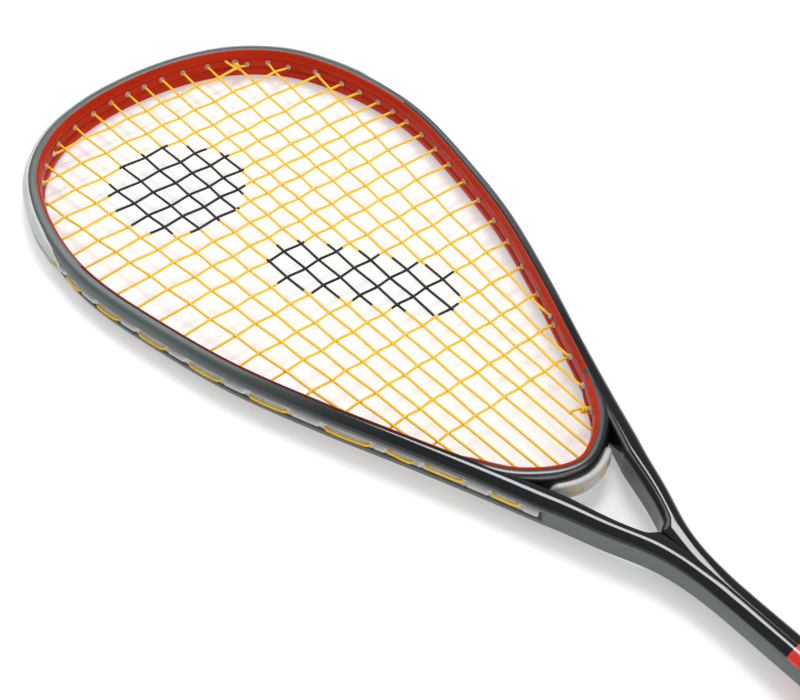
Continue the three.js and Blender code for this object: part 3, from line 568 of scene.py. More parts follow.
def staple_steel():
    look = Look("staple_steel", (0.62, 0.62, 0.63), 0.3, 1.0)
    grain = look.noise(look.place(), 1200.0)
    look.drive("Roughness", look.map_range(grain, 0.3, 0.7, 0.2, 0.4))
    return look.mat


HOOP_PAINT = hoop_paint()
BLACK_PAINT = gloss_black("gloss_black_paint", 0.5, 0.07, 0.12)
BRIDGE_PAINT = gloss_black("bridge_black_paint", 0.8, 0.27, 0.29)
RED_PAINT = inner_red()
ACCENT_RED = accent_red()
BUMPER_CLEAR = clear_plastic("bumper_nylon", (0.5, 0.52, 0.515), (0.6, 0.62, 0.61), 0.1)
STRIP_CLEAR = clear_plastic("strip_nylon", (0.62, 0.6, 0.58), (0.76, 0.74, 0.71), 0.3)
YELLOW = string_material("yellow_string", (0.82, 0.45, 0.01), (0.95, 0.62, 0.028), 0.38)
BLACK_INK = string_material("inked_string", (0.003, 0.003, 0.003), (0.007, 0.007, 0.008), 0.5)
BORE_SHADE = painted_bore_shade()
GRIP = grip_material()
TAPE = moulded("finishing_tape", (0.014, 0.014, 0.015), (0.022, 0.022, 0.024), 0.32, 400.0, 0.15)
COLLAR = moulded("collar_rubber", (0.016, 0.016, 0.017), (0.026, 0.026, 0.028), 0.6)
CAP = moulded("cap_plastic", (0.014, 0.014, 0.015), (0.024, 0.024, 0.026), 0.45, 2200.0, 0.35)
FOAM = moulded("handle_foam", (0.55, 0.5, 0.36), (0.66, 0.6, 0.45), 0.9, 900.0, 0.8)
PLUG = moulded("plug_foam", (0.08, 0.08, 0.08), (0.13, 0.13, 0.13), 0.9, 900.0, 0.8)
STEEL = staple_steel()

# ---- Drillings and the string's route ----


class Drilling:
    """One hole for the string: its direction, where the string bends inside the hoop, where it
    meets the inner wall, and where it leaves the rail. Exit is None for holes in the bridge."""

    def __init__(self, point, direction, axis, layer, tied=False):
        bend, out = meet_hoop(point, direction, -BEND_STAND)
        self.direction = unit(np.asarray(axis) if axis is not None else out + direction)
        self.bend = bend
        self.wall = meet_hoop(bend, self.direction, 0)[0]
        if abs(self.direction[0]) < 1e-6:
            self.exit = None
            self.exit_point = meet_hoop(bend, self.direction, BRIDGE_LOOP_STAND)[0]
        else:
            self.exit = leave_rail(bend, self.direction, LOOP_OUTSET)
            self.exit_point = over_rail(self.exit, LOOP_OUTSET)
        self.layer = layer
        self.tied = tied


def make_mains():
    """Each main's drilling at the tip and at the throat, from left to right."""
    offsets = [-x for x in MAIN_OFFSETS][::-1] + MAIN_OFFSETS
    made = []
    for i, x in enumerate(offsets):
        side = math.copysign(1, x)
        from_edge = min(i, len(offsets) - 1 - i)
        up = unit([side * MAIN_FAN * abs(x) ** 1.5, 1])
        if from_edge < len(LOWER_MAIN_DIPS):
            dip = math.radians(LOWER_MAIN_DIPS[from_edge])
            axis = [side * math.cos(dip), -math.sin(dip)]
        else:
            axis = [0.0, -1.0]
        top = Drilling(np.array([x, 0.0]), up, None, LAYER, i == TIP_TIE_MAIN)
        bottom = Drilling(np.array([x, 0.0]), -up, axis, LAYER, i == THROAT_TIE_MAIN)
        made.append((top, bottom))
    return made


cross_heights = [TOP_CROSS]
for gap in CROSS_GAPS:
    cross_heights.append(cross_heights[-1] - gap)
mains = make_mains()
crosses = [
    [Drilling(np.array([0.0, y]), np.array([way, 0.0]), None, -LAYER) for way in (-1.0, 1.0)]
    for y in cross_heights
]
drillings = [d for pair in mains + crosses for d in pair]
loops = []  # pairs of signed stations between which the string runs outside the rail


def lift(point, height):
    return np.array([point[0], point[1], height])


def crossing(i, j):
    """Where main i and cross j meet, or None where either ends before."""
    top, bottom = mains[i]
    left, right = crosses[j]
    t = (cross_heights[j] - bottom.bend[1]) / (top.bend[1] - bottom.bend[1])
    point = bottom.bend + (top.bend - bottom.bend) * t
    if END_SHARE < t < 1 - END_SHARE and left.bend[0] < point[0] < right.bend[0]:
        return point
    return None


def eased_height(t):
    """A straight slope from 0 to 1 with a short bend at each end."""
    k = CROSSING_SHARE
    slope = 1 / (1 - k)
    if t < k:
        return slope * t * t / (2 * k)
    if t > 1 - k:
        return 1 - slope * (1 - t) ** 2 / (2 * k)
    return slope * (t - k / 2)


def woven(points):
    """The points joined by straight runs whose height eases from one to the next."""
    out = []
    for a, b in zip(points[:-1], points[1:]):
        for t in EASING_SHARES:
            point = a + (b - a) * t
            point[2] = a[2] + (b[2] - a[2]) * eased_height(t)
            out.append(point)
    return out + [points[-1]]


def bed_run(first, last, meetings, wave, forwards):
    """A string across the bed: over and under at (place, parity) of each meeting."""
    points = [lift(first.bend, first.layer)]
    for place, parity in meetings:
        if place is not None:
            points.append(lift(place, wave * (1 if parity % 2 == 0 else -1)))
    points.append(lift(last.bend, last.layer))
    run = woven(points)
    return run if forwards else run[::-1]


def main_run(i, upwards):
    top, bottom = mains[i]
    meetings = [(crossing(i, j), i + j) for j in reversed(range(len(crosses)))]
    return bed_run(bottom, top, meetings, MAIN_WAVE, upwards)


def cross_run(j, rightwards):
    left, right = crosses[j]
    meetings = [(crossing(i, j), i + j) for i in range(len(mains))]
    return bed_run(left, right, meetings, -CROSS_WAVE, rightwards)


def outer_loop(a, b):
    """The string outside the rail or the bridge, from one hole to the next."""
    if a.exit is None or b.exit is None:
        middle = lift((a.exit_point + b.exit_point) / 2 - (0, LOOP_SAG), (a.layer + b.layer) / 2)
        return [lift(a.exit_point, a.layer), middle, lift(b.exit_point, b.layer)]
    loops.append((a.exit, b.exit))
    out = []
    for share in np.linspace(0, 1, 9):
        s = a.exit + (b.exit - a.exit) * share
        outset = LOOP_OUTSET + LOOP_BOW * math.sin(math.pi * share)
        out.append(lift(over_rail(s, outset), a.layer + (b.layer - a.layer) * share))
    return out


def laced(strings, run, turn_side):
    """Runs from the last string to the first, joined by loops outside the rail. The first run ends
    at its turn_side, 0 or 1."""
    out = []
    last = len(strings) - 1
    for k in range(last, -1, -1):
        forwards = (last - k) % 2 == 0
        out += run(k, forwards)
        if k > 0:
            side = turn_side if forwards else 1 - turn_side
            out += outer_loop(strings[k][side], strings[k - 1][side])
    return out


def string_route():
    """All mains from the right, then all crosses from the throat up."""
    bed = laced(mains, main_run, 0)
    link = outer_loop(mains[0][1], crosses[-1][0])
    return bed + link + laced(crosses, cross_run, 1)


def tied_route(last, host, run_height, tail):
    """A free end: out along the rail, in through the host's hole, hitched round the host, a tail."""
    side = np.array([-host.direction[1], host.direction[0]]) * 1.15
    height = host.layer + 0.2
    out = [lift(last.bend, last.layer), lift(last.exit_point, last.layer)]
    for share in np.linspace(0.1, 0.9, 8):
        s = last.exit + (host.exit - last.exit) * share
        out.append(lift(over_rail(s, LOOP_OUTSET + 0.1), run_height))
    loops.append((last.exit, host.exit))
    out.append(lift(host.exit_point + side * 0.8, height))
    out.append(lift(host.wall + side * 0.9, height))
    for step in range(HITCH_TURNS * HITCH_STEPS + 1):
        angle = 2 * math.pi * step / HITCH_STEPS
        centre = host.wall + host.direction * (HITCH_START - HITCH_PITCH * step / HITCH_STEPS)
        flat = centre + unit(side) * math.cos(angle) * HITCH_RADIUS
        out.append(lift(flat, host.layer * 0.8 + math.sin(angle) * HITCH_RADIUS))
    end = out[-1]
    for k in range(1, 4):
        out.append(end + np.asarray(tail) * k / 3)
    return out


main_path = refined(string_route(), 0.9)
throat_tie = tied_route(mains[-1][1], mains[THROAT_TIE_MAIN][1], 1.6, (-6.5, 1.0, 1.2))
tip_tie = tied_route(crosses[0][1], mains[TIP_TIE_MAIN][0], 0.0, (-3.4, 4.6, 3.6))
paths = [main_path, refined(throat_tie, 0.5), refined(tip_tie, 0.5)]


def inked(x, y):
    """Plain stencil on the string bed: one disc and one bar."""
    wobble = 0.8 * math.sin(x * 0.7 + y * 0.5)
    disc = math.hypot(x - DISC_CENTRE[0], y - DISC_CENTRE[1]) < DISC_RADIUS + wobble
    across, up = x - BAR_CENTRE[0], y - BAR_CENTRE[1]
    u = across * BAR_TURN[0] - up * BAR_TURN[1]
    v = across * BAR_TURN[1] + up * BAR_TURN[0]
    bar = (abs(u) / BAR_HALF[0]) ** 5 + (abs(v) / BAR_HALF[1]) ** 5 < 1
    return disc or bar


def build_string():
    pile = Pile()
    for path in paths:
        middle = (path[:-1] + path[1:]) / 2
        tags = [[int(abs(z) < INK_REACH and inked(x, y))] * STRING_SIDES for x, y, z in middle]
        around = np.linspace(0, 1, STRING_SIDES) * GIRTH
        uvs = np.stack(np.meshgrid(around, distances(path)), axis=-1)
        pile.grid(tube(path, STRING_RADIUS), tags, caps=True, uvs=uvs)
    obj = pile.build("woven_string", [YELLOW, BLACK_INK])
    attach(obj, "root")
    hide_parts("string")


build_string()

# ---- Rail ----

TAG_OUTER, TAG_BLACK, TAG_RED, TAG_ACCENT = 0, 1, 2, 3
CREASE_HEIGHT = 2.7
CREASE_DEPTH = 0.5
BULGE = 0.65
LIP_ANGLE = 62  # the inner red paint wraps over the edge to here, in degrees
LIP_STEP = 9
RIM_HEIGHT = 3.2
ACCENT_TOP = -308  # the red band on the shaft, and how far it comes down the shaft's sides
ACCENT_LEVEL = 4.2
HOOP_STEPS, ARM_STEPS, SHAFT_STEPS = 22, 10, 40
RED_END = -160  # the bridge's own edge carries the red on from here
BLACK_EDGE_START = 40  # below this height a thin black edge runs along the red lip


def upper_profile(width, wall, crest, crest_at, groove, ridge):
    """Upper half of a rail section from the inner wall's middle over the crest to the groove's
    middle, as rows of (distance from the inner edge, height, tag)."""
    crest_from = crest_at * width
    reach = width - crest_from
    rows = [(0.0, z * wall / WALL_HEIGHT, "wall") for z in (0.0, 1.0, 1.9, 2.35)]
    scale = wall / WALL_HEIGHT
    rows.append((CREASE_DEPTH * ridge, CREASE_HEIGHT * scale, "wall"))
    for share in (0.06, 0.16, 0.32, 0.5, 0.68, 0.84, 0.95):
        z = (CREASE_HEIGHT + (WALL_HEIGHT - CREASE_HEIGHT) * share) * scale
        out = -BULGE * math.sin(math.pi * min(share * 1.15, 1.0)) ** 0.7
        rows.append((out * ridge, z, "wall"))
    for degrees in range(0, 90, LIP_STEP):
        angle = math.radians(degrees)
        n = crest_from * (1 - math.cos(angle))
        z = wall + (crest - wall) * math.sin(angle)
        rows.append((n, z, "lip" if degrees < LIP_ANGLE else "bevel"))
    rim_angle = math.asin((RIM_HEIGHT / crest) ** (ROUNDNESS / 2))
    power = 2 / ROUNDNESS
    steps = 16
    for k in range(steps + 1):
        angle = math.pi / 2 + (rim_angle - math.pi / 2) * k / steps
        n = crest_from + reach * max(math.cos(angle), 0) ** power
        rows.append((n, crest * math.sin(angle) ** power, "outer"))

    def side(z):
        return crest_from + reach * (1 - (z / crest) ** ROUNDNESS) ** (1 / ROUNDNESS)

    shares = ((3.05, 0.03), (2.9, 0.12), (2.72, 0.4), (2.6, 0.85), (2.45, 1.0), (1.2, 1.0))
    for z, share in (*shares, (0.0, 1.0)):
        rows.append((side(z) - groove * share, z, "groove"))
    return rows


def mirrored(rows):
    """A whole section from its upper half."""
    return rows + [(n, -z, tag) for n, z, tag in rows[1:-1][::-1]]


def rail_section(values):
    """One station's ring, its tags and its height."""
    inner, outer = values[0:2], values[2:4]
    wall, crest, crest_at, groove = values[4:8]
    width = np.linalg.norm(outer - inner)
    out = unit(outer - inner)
    ridge = smooth_step(-188, -165, inner[1])
    groove = groove * smooth_step(-204.5, -201.5, outer[1])
    full = mirrored(upper_profile(width, wall, crest, crest_at, groove, ridge))
    ring = [(*(inner + out * n), z) for n, z, _ in full]
    return ring, [tag for _, _, tag in full], inner[1]


def tag_number(tag, height, level):
    if height < ACCENT_TOP and tag in ("outer", "bevel", "lip") and level > ACCENT_LEVEL:
        return TAG_ACCENT
    if tag in ("wall", "lip"):
        return TAG_RED if height > RED_END else TAG_BLACK
    if tag == "bevel" and height < BLACK_EDGE_START:
        return TAG_BLACK
    return TAG_OUTER


EVENING_REACH = 6.0  # mm along the rail


def evened(stations):
    """The stations with the outer edge and the section of the arms and shaft evened out."""
    values = np.array(stations)
    across = values[:, 2:4] - values[:, 0:2]
    crest = values[:, 0:2] + across * values[:, 6:7]
    along = distances(values[:, 2:4])
    apart = along[:, None] - along[None, :]
    weight = np.exp(-(apart**2) / (2 * EVENING_REACH**2)) * np.gradient(along)[None, :]
    weight /= weight.sum(axis=1, keepdims=True)
    soft = weight @ values
    y = values[:, 3]
    amount = smooth_step(-196, -212, y) * smooth_step(-500, -480, y)
    for column in range(2, 6):
        values[:, column] += (soft[:, column] - values[:, column]) * amount
    across = values[:, 2:4] - values[:, 0:2]
    soft_crest = ((weight @ crest - values[:, 0:2]) * across).sum(axis=1) / (across**2).sum(axis=1)
    values[:, 6] += (soft_crest - values[:, 6]) * amount
    return values


def build_rail():
    grid = []
    for k in range(len(knots) - 1):
        steps = HOOP_STEPS if k < HOOP_SPANS else ARM_STEPS
        grid += [k + i / steps for i in range(steps)]
    grid.append(len(knots) - 1)
    stations = [rail_at(s) for s in grid]
    end = knots[-1].copy()
    end[0:4] = (0, SHAFT_END, SHAFT_HALF_WIDTH, SHAFT_END)
    start = knots[-1]
    for share in np.linspace(0, 1, SHAFT_STEPS)[1:]:
        stations.append(start + (end - start) * share)
    rings, tags, heights = zip(*[rail_section(v) for v in evened(stations)])
    rings = np.array(rings)
    pile = Pile()
    for sign in (1, -1):
        points = rings * np.array([sign, 1, 1])
        face_tags = []
        for r in range(len(points) - 1):
            levels = np.abs(points[r, :, 2])
            used = tags[r][:-1] + tags[r][:1]
            face_tags.append([tag_number(tag, heights[r], z) for tag, z in zip(used, levels)])
        pile.grid(points, face_tags)
    # the shaft's two halves meet at X = 0, where they need no faces between them
    flat = np.abs(np.vstack(pile.points)[:, 0]) < 1e-6
    kept = [pair for pair in zip(pile.faces, pile.tags) if not all(flat[i] for i in pair[0])]
    pile.faces, pile.tags = zip(*kept)
    paints = [HOOP_PAINT, BLACK_PAINT, RED_PAINT, ACCENT_RED]
    obj = pile.build("fine_rail", paints, weld_at=3e-6, fill=True)
    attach(obj, "root")
    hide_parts("frame_rail")


build_rail()

BRIDGE_TOP = -150


def build_bridge():
    """The throat bridge, thinner and sunk a little into the rails at its horns."""
    keep = [i for i in range(len(hoop)) if hoop[i][1] < BRIDGE_TOP]
    keep = sorted(keep, key=lambda i: (i - keep[0]) % len(hoop))
    rings, tags = [], []
    for i in keep[::3]:
        sink = 1.6 * (1 - smooth_step(BRIDGE_TOP, -172, hoop[i][1]))
        inner = hoop[i] + hoop_out[i] * sink
        low = 1 - smooth_step(BRIDGE_TOP, -178, hoop[i][1])
        wide, wall, crest = 7.2 - 3.4 * low, 7.4 - 0.5 * low, 8.6 - 0.7 * low
        full = mirrored(upper_profile(wide, wall, crest, 0.45, 0, 1.0))
        rings.append([(*(inner + hoop_out[i] * n), z) for n, z, _ in full])
        tags.append([int(tag in ("wall", "lip")) for _, _, tag in full])
    pile = Pile()
    pile.grid(rings, tags, caps=True)
    obj = pile.build("fine_bridge", [BRIDGE_PAINT, RED_PAINT], weld_at=3e-6)
    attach(obj, "root")
    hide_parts("throat_bridge")


build_bridge()

# ---- Bumper and grommet strips ----

bumper_end = station_at_height(BUMPER_END)
strip_end = station_at_height(STRIP_END)


LOOP_MARGIN, LOOP_EDGE = 0.018, 0.07  # in stations


def window(low, high, edge, value):
    """1 from low to high, easing to 0 over an edge on each side."""
    return smooth_step(low - edge, low, value) * (1 - smooth_step(high, high + edge, value))


def loop_amount(s):
    """1 where the string runs outside the rail at signed station s, 0 between loops."""
    best = 0.0
    for a, b in loops:
        low, high = min(a, b) - LOOP_MARGIN, max(a, b) + LOOP_MARGIN
        best = max(best, window(low, high, LOOP_EDGE, s))
    return best


def add_barrels(pile, chosen):
    """The barrels' ends on the inner wall, as rows of (radius, distance from the wall): a rounded
    collar and a dark disc across its bore, the disc's colour being painted shade inside the bore."""
    for d in chosen:
        outer = 1.95 if d.tied else 1.5
        bore = 1.4 if d.tied else 1.0
        axis = np.array([-d.direction[0], -d.direction[1], 0.0])
        side = np.array([-axis[1], axis[0], 0.0])
        up = np.array([0.0, 0.0, 1.0])
        start = lift(d.wall, d.layer)
        angles = np.linspace(0, 2 * math.pi, 16, endpoint=False)
        ways = [math.cos(a) * side + math.sin(a) * up for a in angles]
        collar = [(outer, -1.0), (outer, 0.25), (outer - 0.12, 0.62), (outer - 0.3, 0.75)]
        collar += [(bore + 0.08, 0.68), (bore, 0.45), (bore, 0.05)]
        # the disc is painted shade: a dark sheet across the bore where only shade falls
        disc = [(bore + 0.02, 0.07), (0.02, 0.07)]
        for tag, profile in ((0, collar), (1, disc)):
            pile.grid([[start + axis * x + r * way for way in ways] for r, x in profile], tag)


STRIP_BACK, STRIP_HALF_DEPTH = -1.95, 2.35
CROWN_HALF_DEPTH = 1.9


def strip_profile(loop):
    """Section of a side strip: a low channel under a loop, a rounded boss between loops."""
    boss = 1 - loop
    rows = [(STRIP_BACK, -STRIP_HALF_DEPTH), (STRIP_BACK, STRIP_HALF_DEPTH)]
    for z in np.linspace(STRIP_HALF_DEPTH, -STRIP_HALF_DEPTH, 19):
        share = abs(z) / STRIP_HALF_DEPTH
        lip = 0.5 * smooth_step(0.72, 0.9, share) * (1 - smooth_step(0.94, 1.0, share))
        crown = max(1 - (abs(z) / CROWN_HALF_DEPTH) ** 2.6, 0) * boss * 1.7
        rows.append((-1.35 + crown + lip * loop - 0.25 * (share > 0.99), z))
    return rows


def build_side_strip(side, node_name):
    rings = []
    for s in np.linspace(bumper_end + 0.015, strip_end, 520):
        fade = smooth_step(0, 0.03, strip_end - s)
        ring = []
        for n, z in strip_profile(loop_amount(side * s)):
            point = over_rail(side * s, n * fade + STRIP_BACK * (1 - fade))
            ring.append((point[0], point[1], z * (0.75 + 0.25 * fade)))
        rings.append(ring)
    pile = Pile()
    pile.grid(rings, caps=True)
    chosen = [d for d in drillings if d.exit is not None and d.exit * side > bumper_end]
    add_barrels(pile, chosen)
    obj = pile.build("fine_" + node_name, [STRIP_CLEAR, BORE_SHADE])
    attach(obj, "root")
    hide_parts(node_name)


build_side_strip(-1, "left_grommet_strip")
build_side_strip(1, "right_grommet_strip")


def bumper_profile(taper, loop):
    """Whole section of the bumper, as (distance from the rail's outer edge, height). The taper
    shrinks its wings towards the ends."""
    wing = 1 - taper
    boss = 1 - loop
    rows = [
        (-1.95, 2.2),
        (-0.3, 2.6),
        (0.12, 2.95),
        (-0.12 - 0.25 * wing, 2.95 + 1.9 * wing),
        (-0.2 - 0.8 * wing, 3.0 + 3.5 * wing),
        (-0.25 - 1.45 * wing, 3.1 + 4.45 * wing),
        (-0.1 - 1.3 * wing, 3.15 + 4.6 * wing),
        (0.2 - 0.5 * wing, 3.1 + 4.2 * wing),
        (0.3 + 0.55 * wing, 3.0 + 3.2 * wing),
        (0.4 + 1.25 * wing, 2.9 + 1.9 * wing),
        (0.45 + 1.7 * wing, 2.7 + 0.7 * wing),
        (0.4 + 1.75 * wing, 2.2 + 0.1 * wing),
        (0.2 + 1.2 * wing, 1.9),
        (-0.9 + boss * (1.0 + wing), 1.7),
        (-1.2 + boss * (1.6 + 1.2 * wing), 0.8),
    ]
    middle = (-1.2 + boss * (1.7 + 1.3 * wing), 0.0)
    return rows + [middle] + [(n, -z) for n, z in rows[::-1]]


WING_TAPER = (48, 76)  # the wings grow from nothing to full between these heights
WAVE_HEIGHT, WAVE_RATE = 2.5, 0.33


def build_bumper():
    rings = []
    for s in np.linspace(-bumper_end, bumper_end, 560):
        y = over_rail(s, 0)[1]
        wave = WAVE_HEIGHT * math.sin(y * WAVE_RATE) * smooth_step(120, 100, y)
        taper = 1 - smooth_step(*WING_TAPER, y + wave)
        rings.append([(*over_rail(s, n), z) for n, z in bumper_profile(taper, loop_amount(s))])
    pile = Pile()
    pile.grid(rings, caps=True)
    chosen = [d for d in drillings if d.exit is not None and abs(d.exit) < bumper_end]
    add_barrels(pile, chosen)
    obj = pile.build("fine_bumper", [BUMPER_CLEAR, BORE_SHADE])
    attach(obj, "root")
    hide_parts("head_bumper")


build_bumper()


BLOCK_HALF_LENGTH, BLOCK_CORNER = 13.4, 3.2
BLOCK_SIDES = 28


def build_throat_strip():
    """The short strip under the bridge: a rounded block with two recesses for its loops."""
    order = [i for i in range(len(hoop)) if hoop[i][1] < 0 and abs(hoop[i][0]) < BLOCK_HALF_LENGTH]
    order = sorted(order, key=lambda i: -hoop[i][0])
    bottoms = [d for _, d in mains if d.exit is None]
    xs = sorted(d.exit_point[0] for d in bottoms)
    pairs = list(zip(xs[0::2], xs[1::2]))
    rings = []
    for i in order:
        x = hoop[i][0]
        edge = (BLOCK_HALF_LENGTH - abs(x)) / BLOCK_CORNER
        size = math.sqrt(max(1 - (1 - min(edge, 1.0)) ** 2, 0.02))
        recess = max(window(low - 0.6, high + 0.6, 0.8, x) for low, high in pairs)
        ring = []
        for k in range(BLOCK_SIDES):
            angle = 2 * math.pi * k / BLOCK_SIDES
            c, d = math.cos(angle), math.sin(angle)
            z = math.copysign(abs(d) ** 0.55, d) * 4.6 * size
            n = 7.9 + math.copysign(abs(c) ** 0.6, c) * 1.9 * size
            if c > 0 and abs(z) < 1.7:
                n -= 1.3 * recess * (1 - (abs(z) / 1.7) ** 4)
            point = hoop[i] + hoop_out[i] * n
            ring.append((point[0], point[1], z))
        rings.append(ring)
    pile = Pile()
    pile.grid(rings, caps=True)
    add_barrels(pile, bottoms)
    obj = pile.build("fine_throat_strip", [STRIP_CLEAR, BORE_SHADE])
    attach(obj, "root")
    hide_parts("throat_grommet_strip")


build_throat_strip()

# ---- Handle ----


CORNER_STEPS, FLAT_STEPS = 12, 10


def handle_ring(half_x, half_z, y, corner):
    """A rounded rectangle with evenly shared points, and each point's outward direction."""
    radius = min(corner, half_x * 0.9, half_z * 0.9)

    def corner_point(quarter, way):
        sx = 1 if quarter % 4 in (0, 3) else -1
        sz = 1 if quarter % 4 < 2 else -1
        return sx * (half_x - radius) + radius * way[0], y, sz * (half_z - radius) + radius * way[2]

    points, normals = [], []
    for quarter in range(4):
        for i in range(CORNER_STEPS + 1):
            angle = math.pi / 2 * (quarter + i / CORNER_STEPS)
            way = (math.cos(angle), 0.0, math.sin(angle))
            points.append(corner_point(quarter, way))
            normals.append(way)
        a, b = np.array(points[-1]), np.array(corner_point(quarter + 1, way))
        for k in range(1, FLAT_STEPS):
            points.append(tuple(a + (b - a) * k / FLAT_STEPS))
            normals.append(way)
    return np.array(points), np.array(normals)


def foam_half(y):
    """The foam's half width and half depth at this height."""
    t = min(max((y + 356) / 23, 0), 1)
    return np.array([13.5 + (9.4 - 13.5) * t, 11.25 + (9.7 - 11.25) * t])


WRAP_BOTTOM, WRAP_TOP = -519, -335
RIBBON_PITCH = 23.0
RIBBON_EDGE = 3.0
RIBBON_THICKNESS = 1.7
HOLE_SPACING = 3.0
MEAN_RADIUS = 14.0


def build_wrap():
    """The ribbon wound in a spiral: each turn overlaps the one before it in a soft step."""
    heights = np.linspace(WRAP_BOTTOM, WRAP_TOP, 420)
    edge = RIBBON_EDGE / RIBBON_PITCH
    girth = 2 * math.pi * MEAN_RADIUS
    rings, uvs = [], []
    for y in heights:
        over = 1.9 * (1 - smooth_step(-499.5, -494, y))
        half = foam_half(y) + 0.3 + RIBBON_THICKNESS + over
        points, normals = handle_ring(half[0], half[1], y, 5.5)
        around = np.linspace(0, 1, len(points), endpoint=False)
        phase = (y + around * RIBBON_PITCH) / RIBBON_PITCH
        place_in_turn = phase - np.floor(phase)
        step = np.where(
            place_in_turn < edge,
            smooth_step(0, edge, place_in_turn) * 0.75,
            0.75 - 0.55 * smooth_step(edge, edge * 3.2, place_in_turn),
        )
        ends = smooth_step(0, 1.6, y - WRAP_BOTTOM) * smooth_step(0, 1.6, WRAP_TOP - y)
        offset = (step - 0.55) - 0.9 * (1 - ends)
        rings.append(points + normals * offset[:, None])
        along = (np.floor(phase) + around) * girth / HOLE_SPACING
        uvs.append(np.stack([place_in_turn * RIBBON_PITCH / HOLE_SPACING, along], axis=-1))
    for y in (WRAP_TOP, WRAP_BOTTOM):
        half = foam_half(y) + 0.4 + (1.4 if y < -499 else 0)
        rings.append(handle_ring(half[0], half[1], y, 5.2)[0])
    rings.append(rings[0])
    uvs += [uvs[-1], uvs[0], uvs[0]]
    pile = Pile()
    pile.grid(rings, uvs=np.array(uvs))
    obj = pile.build("wound_grip", [GRIP])
    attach(obj, "root")
    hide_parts("grip_wrap")


build_wrap()


def shell_of(name, outline, material_used, replaced, close_end):
    """A lofted shell along the handle from rows of (half x, half z, y, corner)."""
    rings = [handle_ring(*row)[0] for row in outline]
    if close_end:
        rings.append(np.tile(rings[-1].mean(axis=0), (len(rings[0]), 1)))
    pile = Pile()
    pile.grid(rings)
    obj = pile.build(name, [material_used], weld_at=1e-6)
    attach(obj, "root")
    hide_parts(replaced)


def build_cap():
    """The butt cap: a sleeve under the wrap, a flared rim with rounded edges and a dished end."""
    rows = [(15.1, 12.85, -498, 5.0), (15.1, 12.85, -519, 5.0)]
    half_x, half_z, corner = 18, 15.6, 8.0
    rim, edge = 1.6, 2.6
    for angle in np.linspace(0, math.pi / 2, 9):
        inset = rim * (1 - math.sin(angle))
        rows.append((half_x - inset, half_z - inset, -519.2 - rim * (1 - math.cos(angle)), corner))
    for angle in np.linspace(0, math.pi / 2, 11):
        inset = edge * (1 - math.cos(angle))
        rows.append((half_x - inset, half_z - inset, -523.7 - edge * math.sin(angle), corner))
    dish = [(3.4, 0), (4.0, 0.1), (4.4, 0.5), (5.0, 0.6), (8, 0.62)]
    dish += [(10.5, 0.62), (11, 0.5), (11.4, 0.3), (12.5, 0.25)]
    for inset, depth in dish:
        tight = max(corner - inset * 0.45, 1.2)
        rows.append((half_x - inset, half_z - inset, -526.3 + depth, tight))
    shell_of("moulded_butt_cap", rows, CAP, "butt_cap", True)


build_cap()


def build_collar():
    """Rubber collar over the top of the wrap, with shallow rings and a soft rolled edge."""
    rows = [(15.7, 13.4, -351.4, 5.2), (16.3, 13.9, -352.0, 5.5), (16.9, 14.4, -351.8, 5.8)]
    for y in np.linspace(-351, -336, 60):
        half = foam_half(y) + 2.0 + 1.1 + 0.8
        groove = 0.3 * max(0.0, math.sin((y + 351) / 3.0 * 2 * math.pi)) ** 3
        rows.append((half[0] - groove, half[1] - groove, y, 6.0))
    start, neck = foam_half(-336) + 3.9, np.array([8.2, 9.1])
    for k in range(1, 13):
        angle = math.pi / 2 * k / 12
        here = neck + (start - neck) * math.cos(angle) ** 1.3
        rows.append((here[0], here[1], -336 + 8.6 * math.sin(angle), 6.0 - 1.6 * k / 12))
    rows += [(7.0, 7.9, -327.2, 4.2), (6.6, 7.5, -328.6, 4.0)]
    shell_of("rolled_collar", rows, COLLAR, "grip_collar", False)


build_collar()

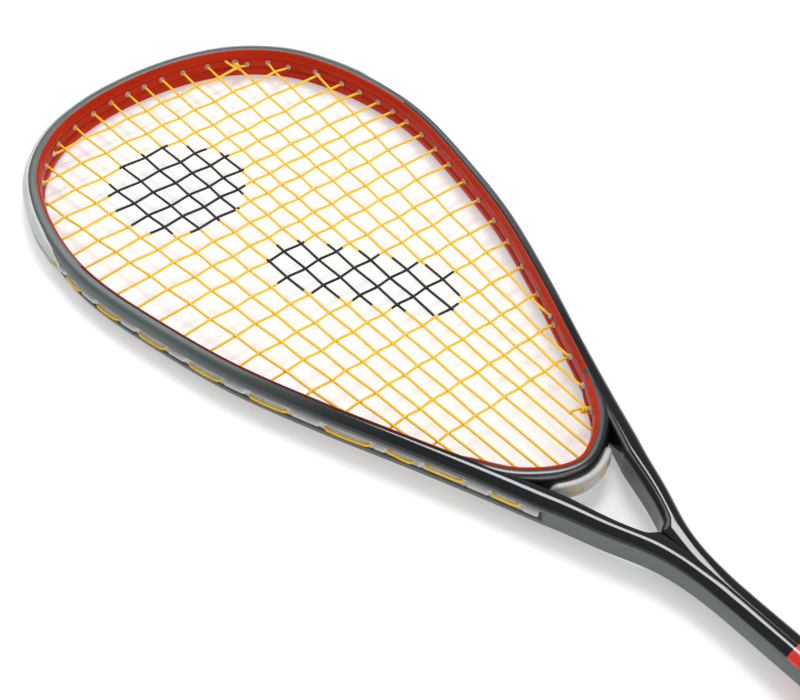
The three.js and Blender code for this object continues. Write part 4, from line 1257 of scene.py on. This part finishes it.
for node_name, finish_used in (
    ("handle_foam", FOAM),
    ("shaft_foam_plug", PLUG),
    ("grip_finishing_tape", TAPE),
    ("upper_cap_staple", STEEL),
    ("lower_cap_staple", STEEL),
):
    for slot_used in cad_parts[node_name].material_slots:
        slot_used.material = finish_used

# ---- Stage ----

# the racket lies on its butt's rim and its tip, so the floor rises 7 mm from one to the other
BUTT_RIM_Y, TIP_Y, TIP_RISE = -0.339, 0.336, 0.007
FLOOR_SIZE = 40.0
FLOOR_DROP = 0.0002  # just under the racket


def build_floor():
    mesh = bpy.data.meshes.new("floor")
    slope = TIP_RISE / (TIP_Y - BUTT_RIM_Y)
    corners = [(x * FLOOR_SIZE, y * FLOOR_SIZE) for x, y in ((-1, -1), (1, -1), (1, 1), (-1, 1))]
    points = [(x, y, (y - BUTT_RIM_Y) * slope - FLOOR_DROP) for x, y in corners]
    mesh.from_pydata(points, [], [(0, 1, 2, 3)])
    floor = bpy.data.objects.new("floor", mesh)
    bpy.context.scene.collection.objects.link(floor)
    glow = {"Emission_Color": (1, 1, 1, 1), "Emission_Strength": 0.36}
    mesh.materials.append(Look("floor_white", (0.61, 0.61, 0.61), 0.9, **glow).mat)


build_floor()


LIGHT_TARGET = (0, 0.05, 0)


def area_light(name, at, size_x, size_y, power):
    data = bpy.data.lights.new(name, "AREA")
    data.shape = "RECTANGLE"
    data.size = size_x
    data.size_y = size_y
    data.energy = power
    lamp = bpy.data.objects.new(name, data)
    aim = Vector(LIGHT_TARGET) - Vector(at)
    lamp.rotation_euler = aim.to_track_quat("-Z", "Y").to_euler()
    lamp.location = at
    bpy.context.scene.collection.objects.link(lamp)


area_light("key", (0.45, 0.48, 1.63), 0.64, 0.64, 19)
area_light("back", (-0.2, 1.5, 1.25), 1.2, 1.0, 9)
area_light("front", (0.35, -1.4, 1.2), 1.2, 1.0, 8)
area_light("side", (-0.8, -1.3, 0.7), 1.3, 0.9, 9)

world = bpy.data.worlds.new("world")
world.use_nodes = True
world.node_tree.nodes["Background"].inputs["Color"].default_value = (0.93, 0.965, 1.0, 1)
world.node_tree.nodes["Background"].inputs["Strength"].default_value = 0.35
bpy.context.scene.world = world
bpy.context.scene.view_settings.view_transform = "Standard"
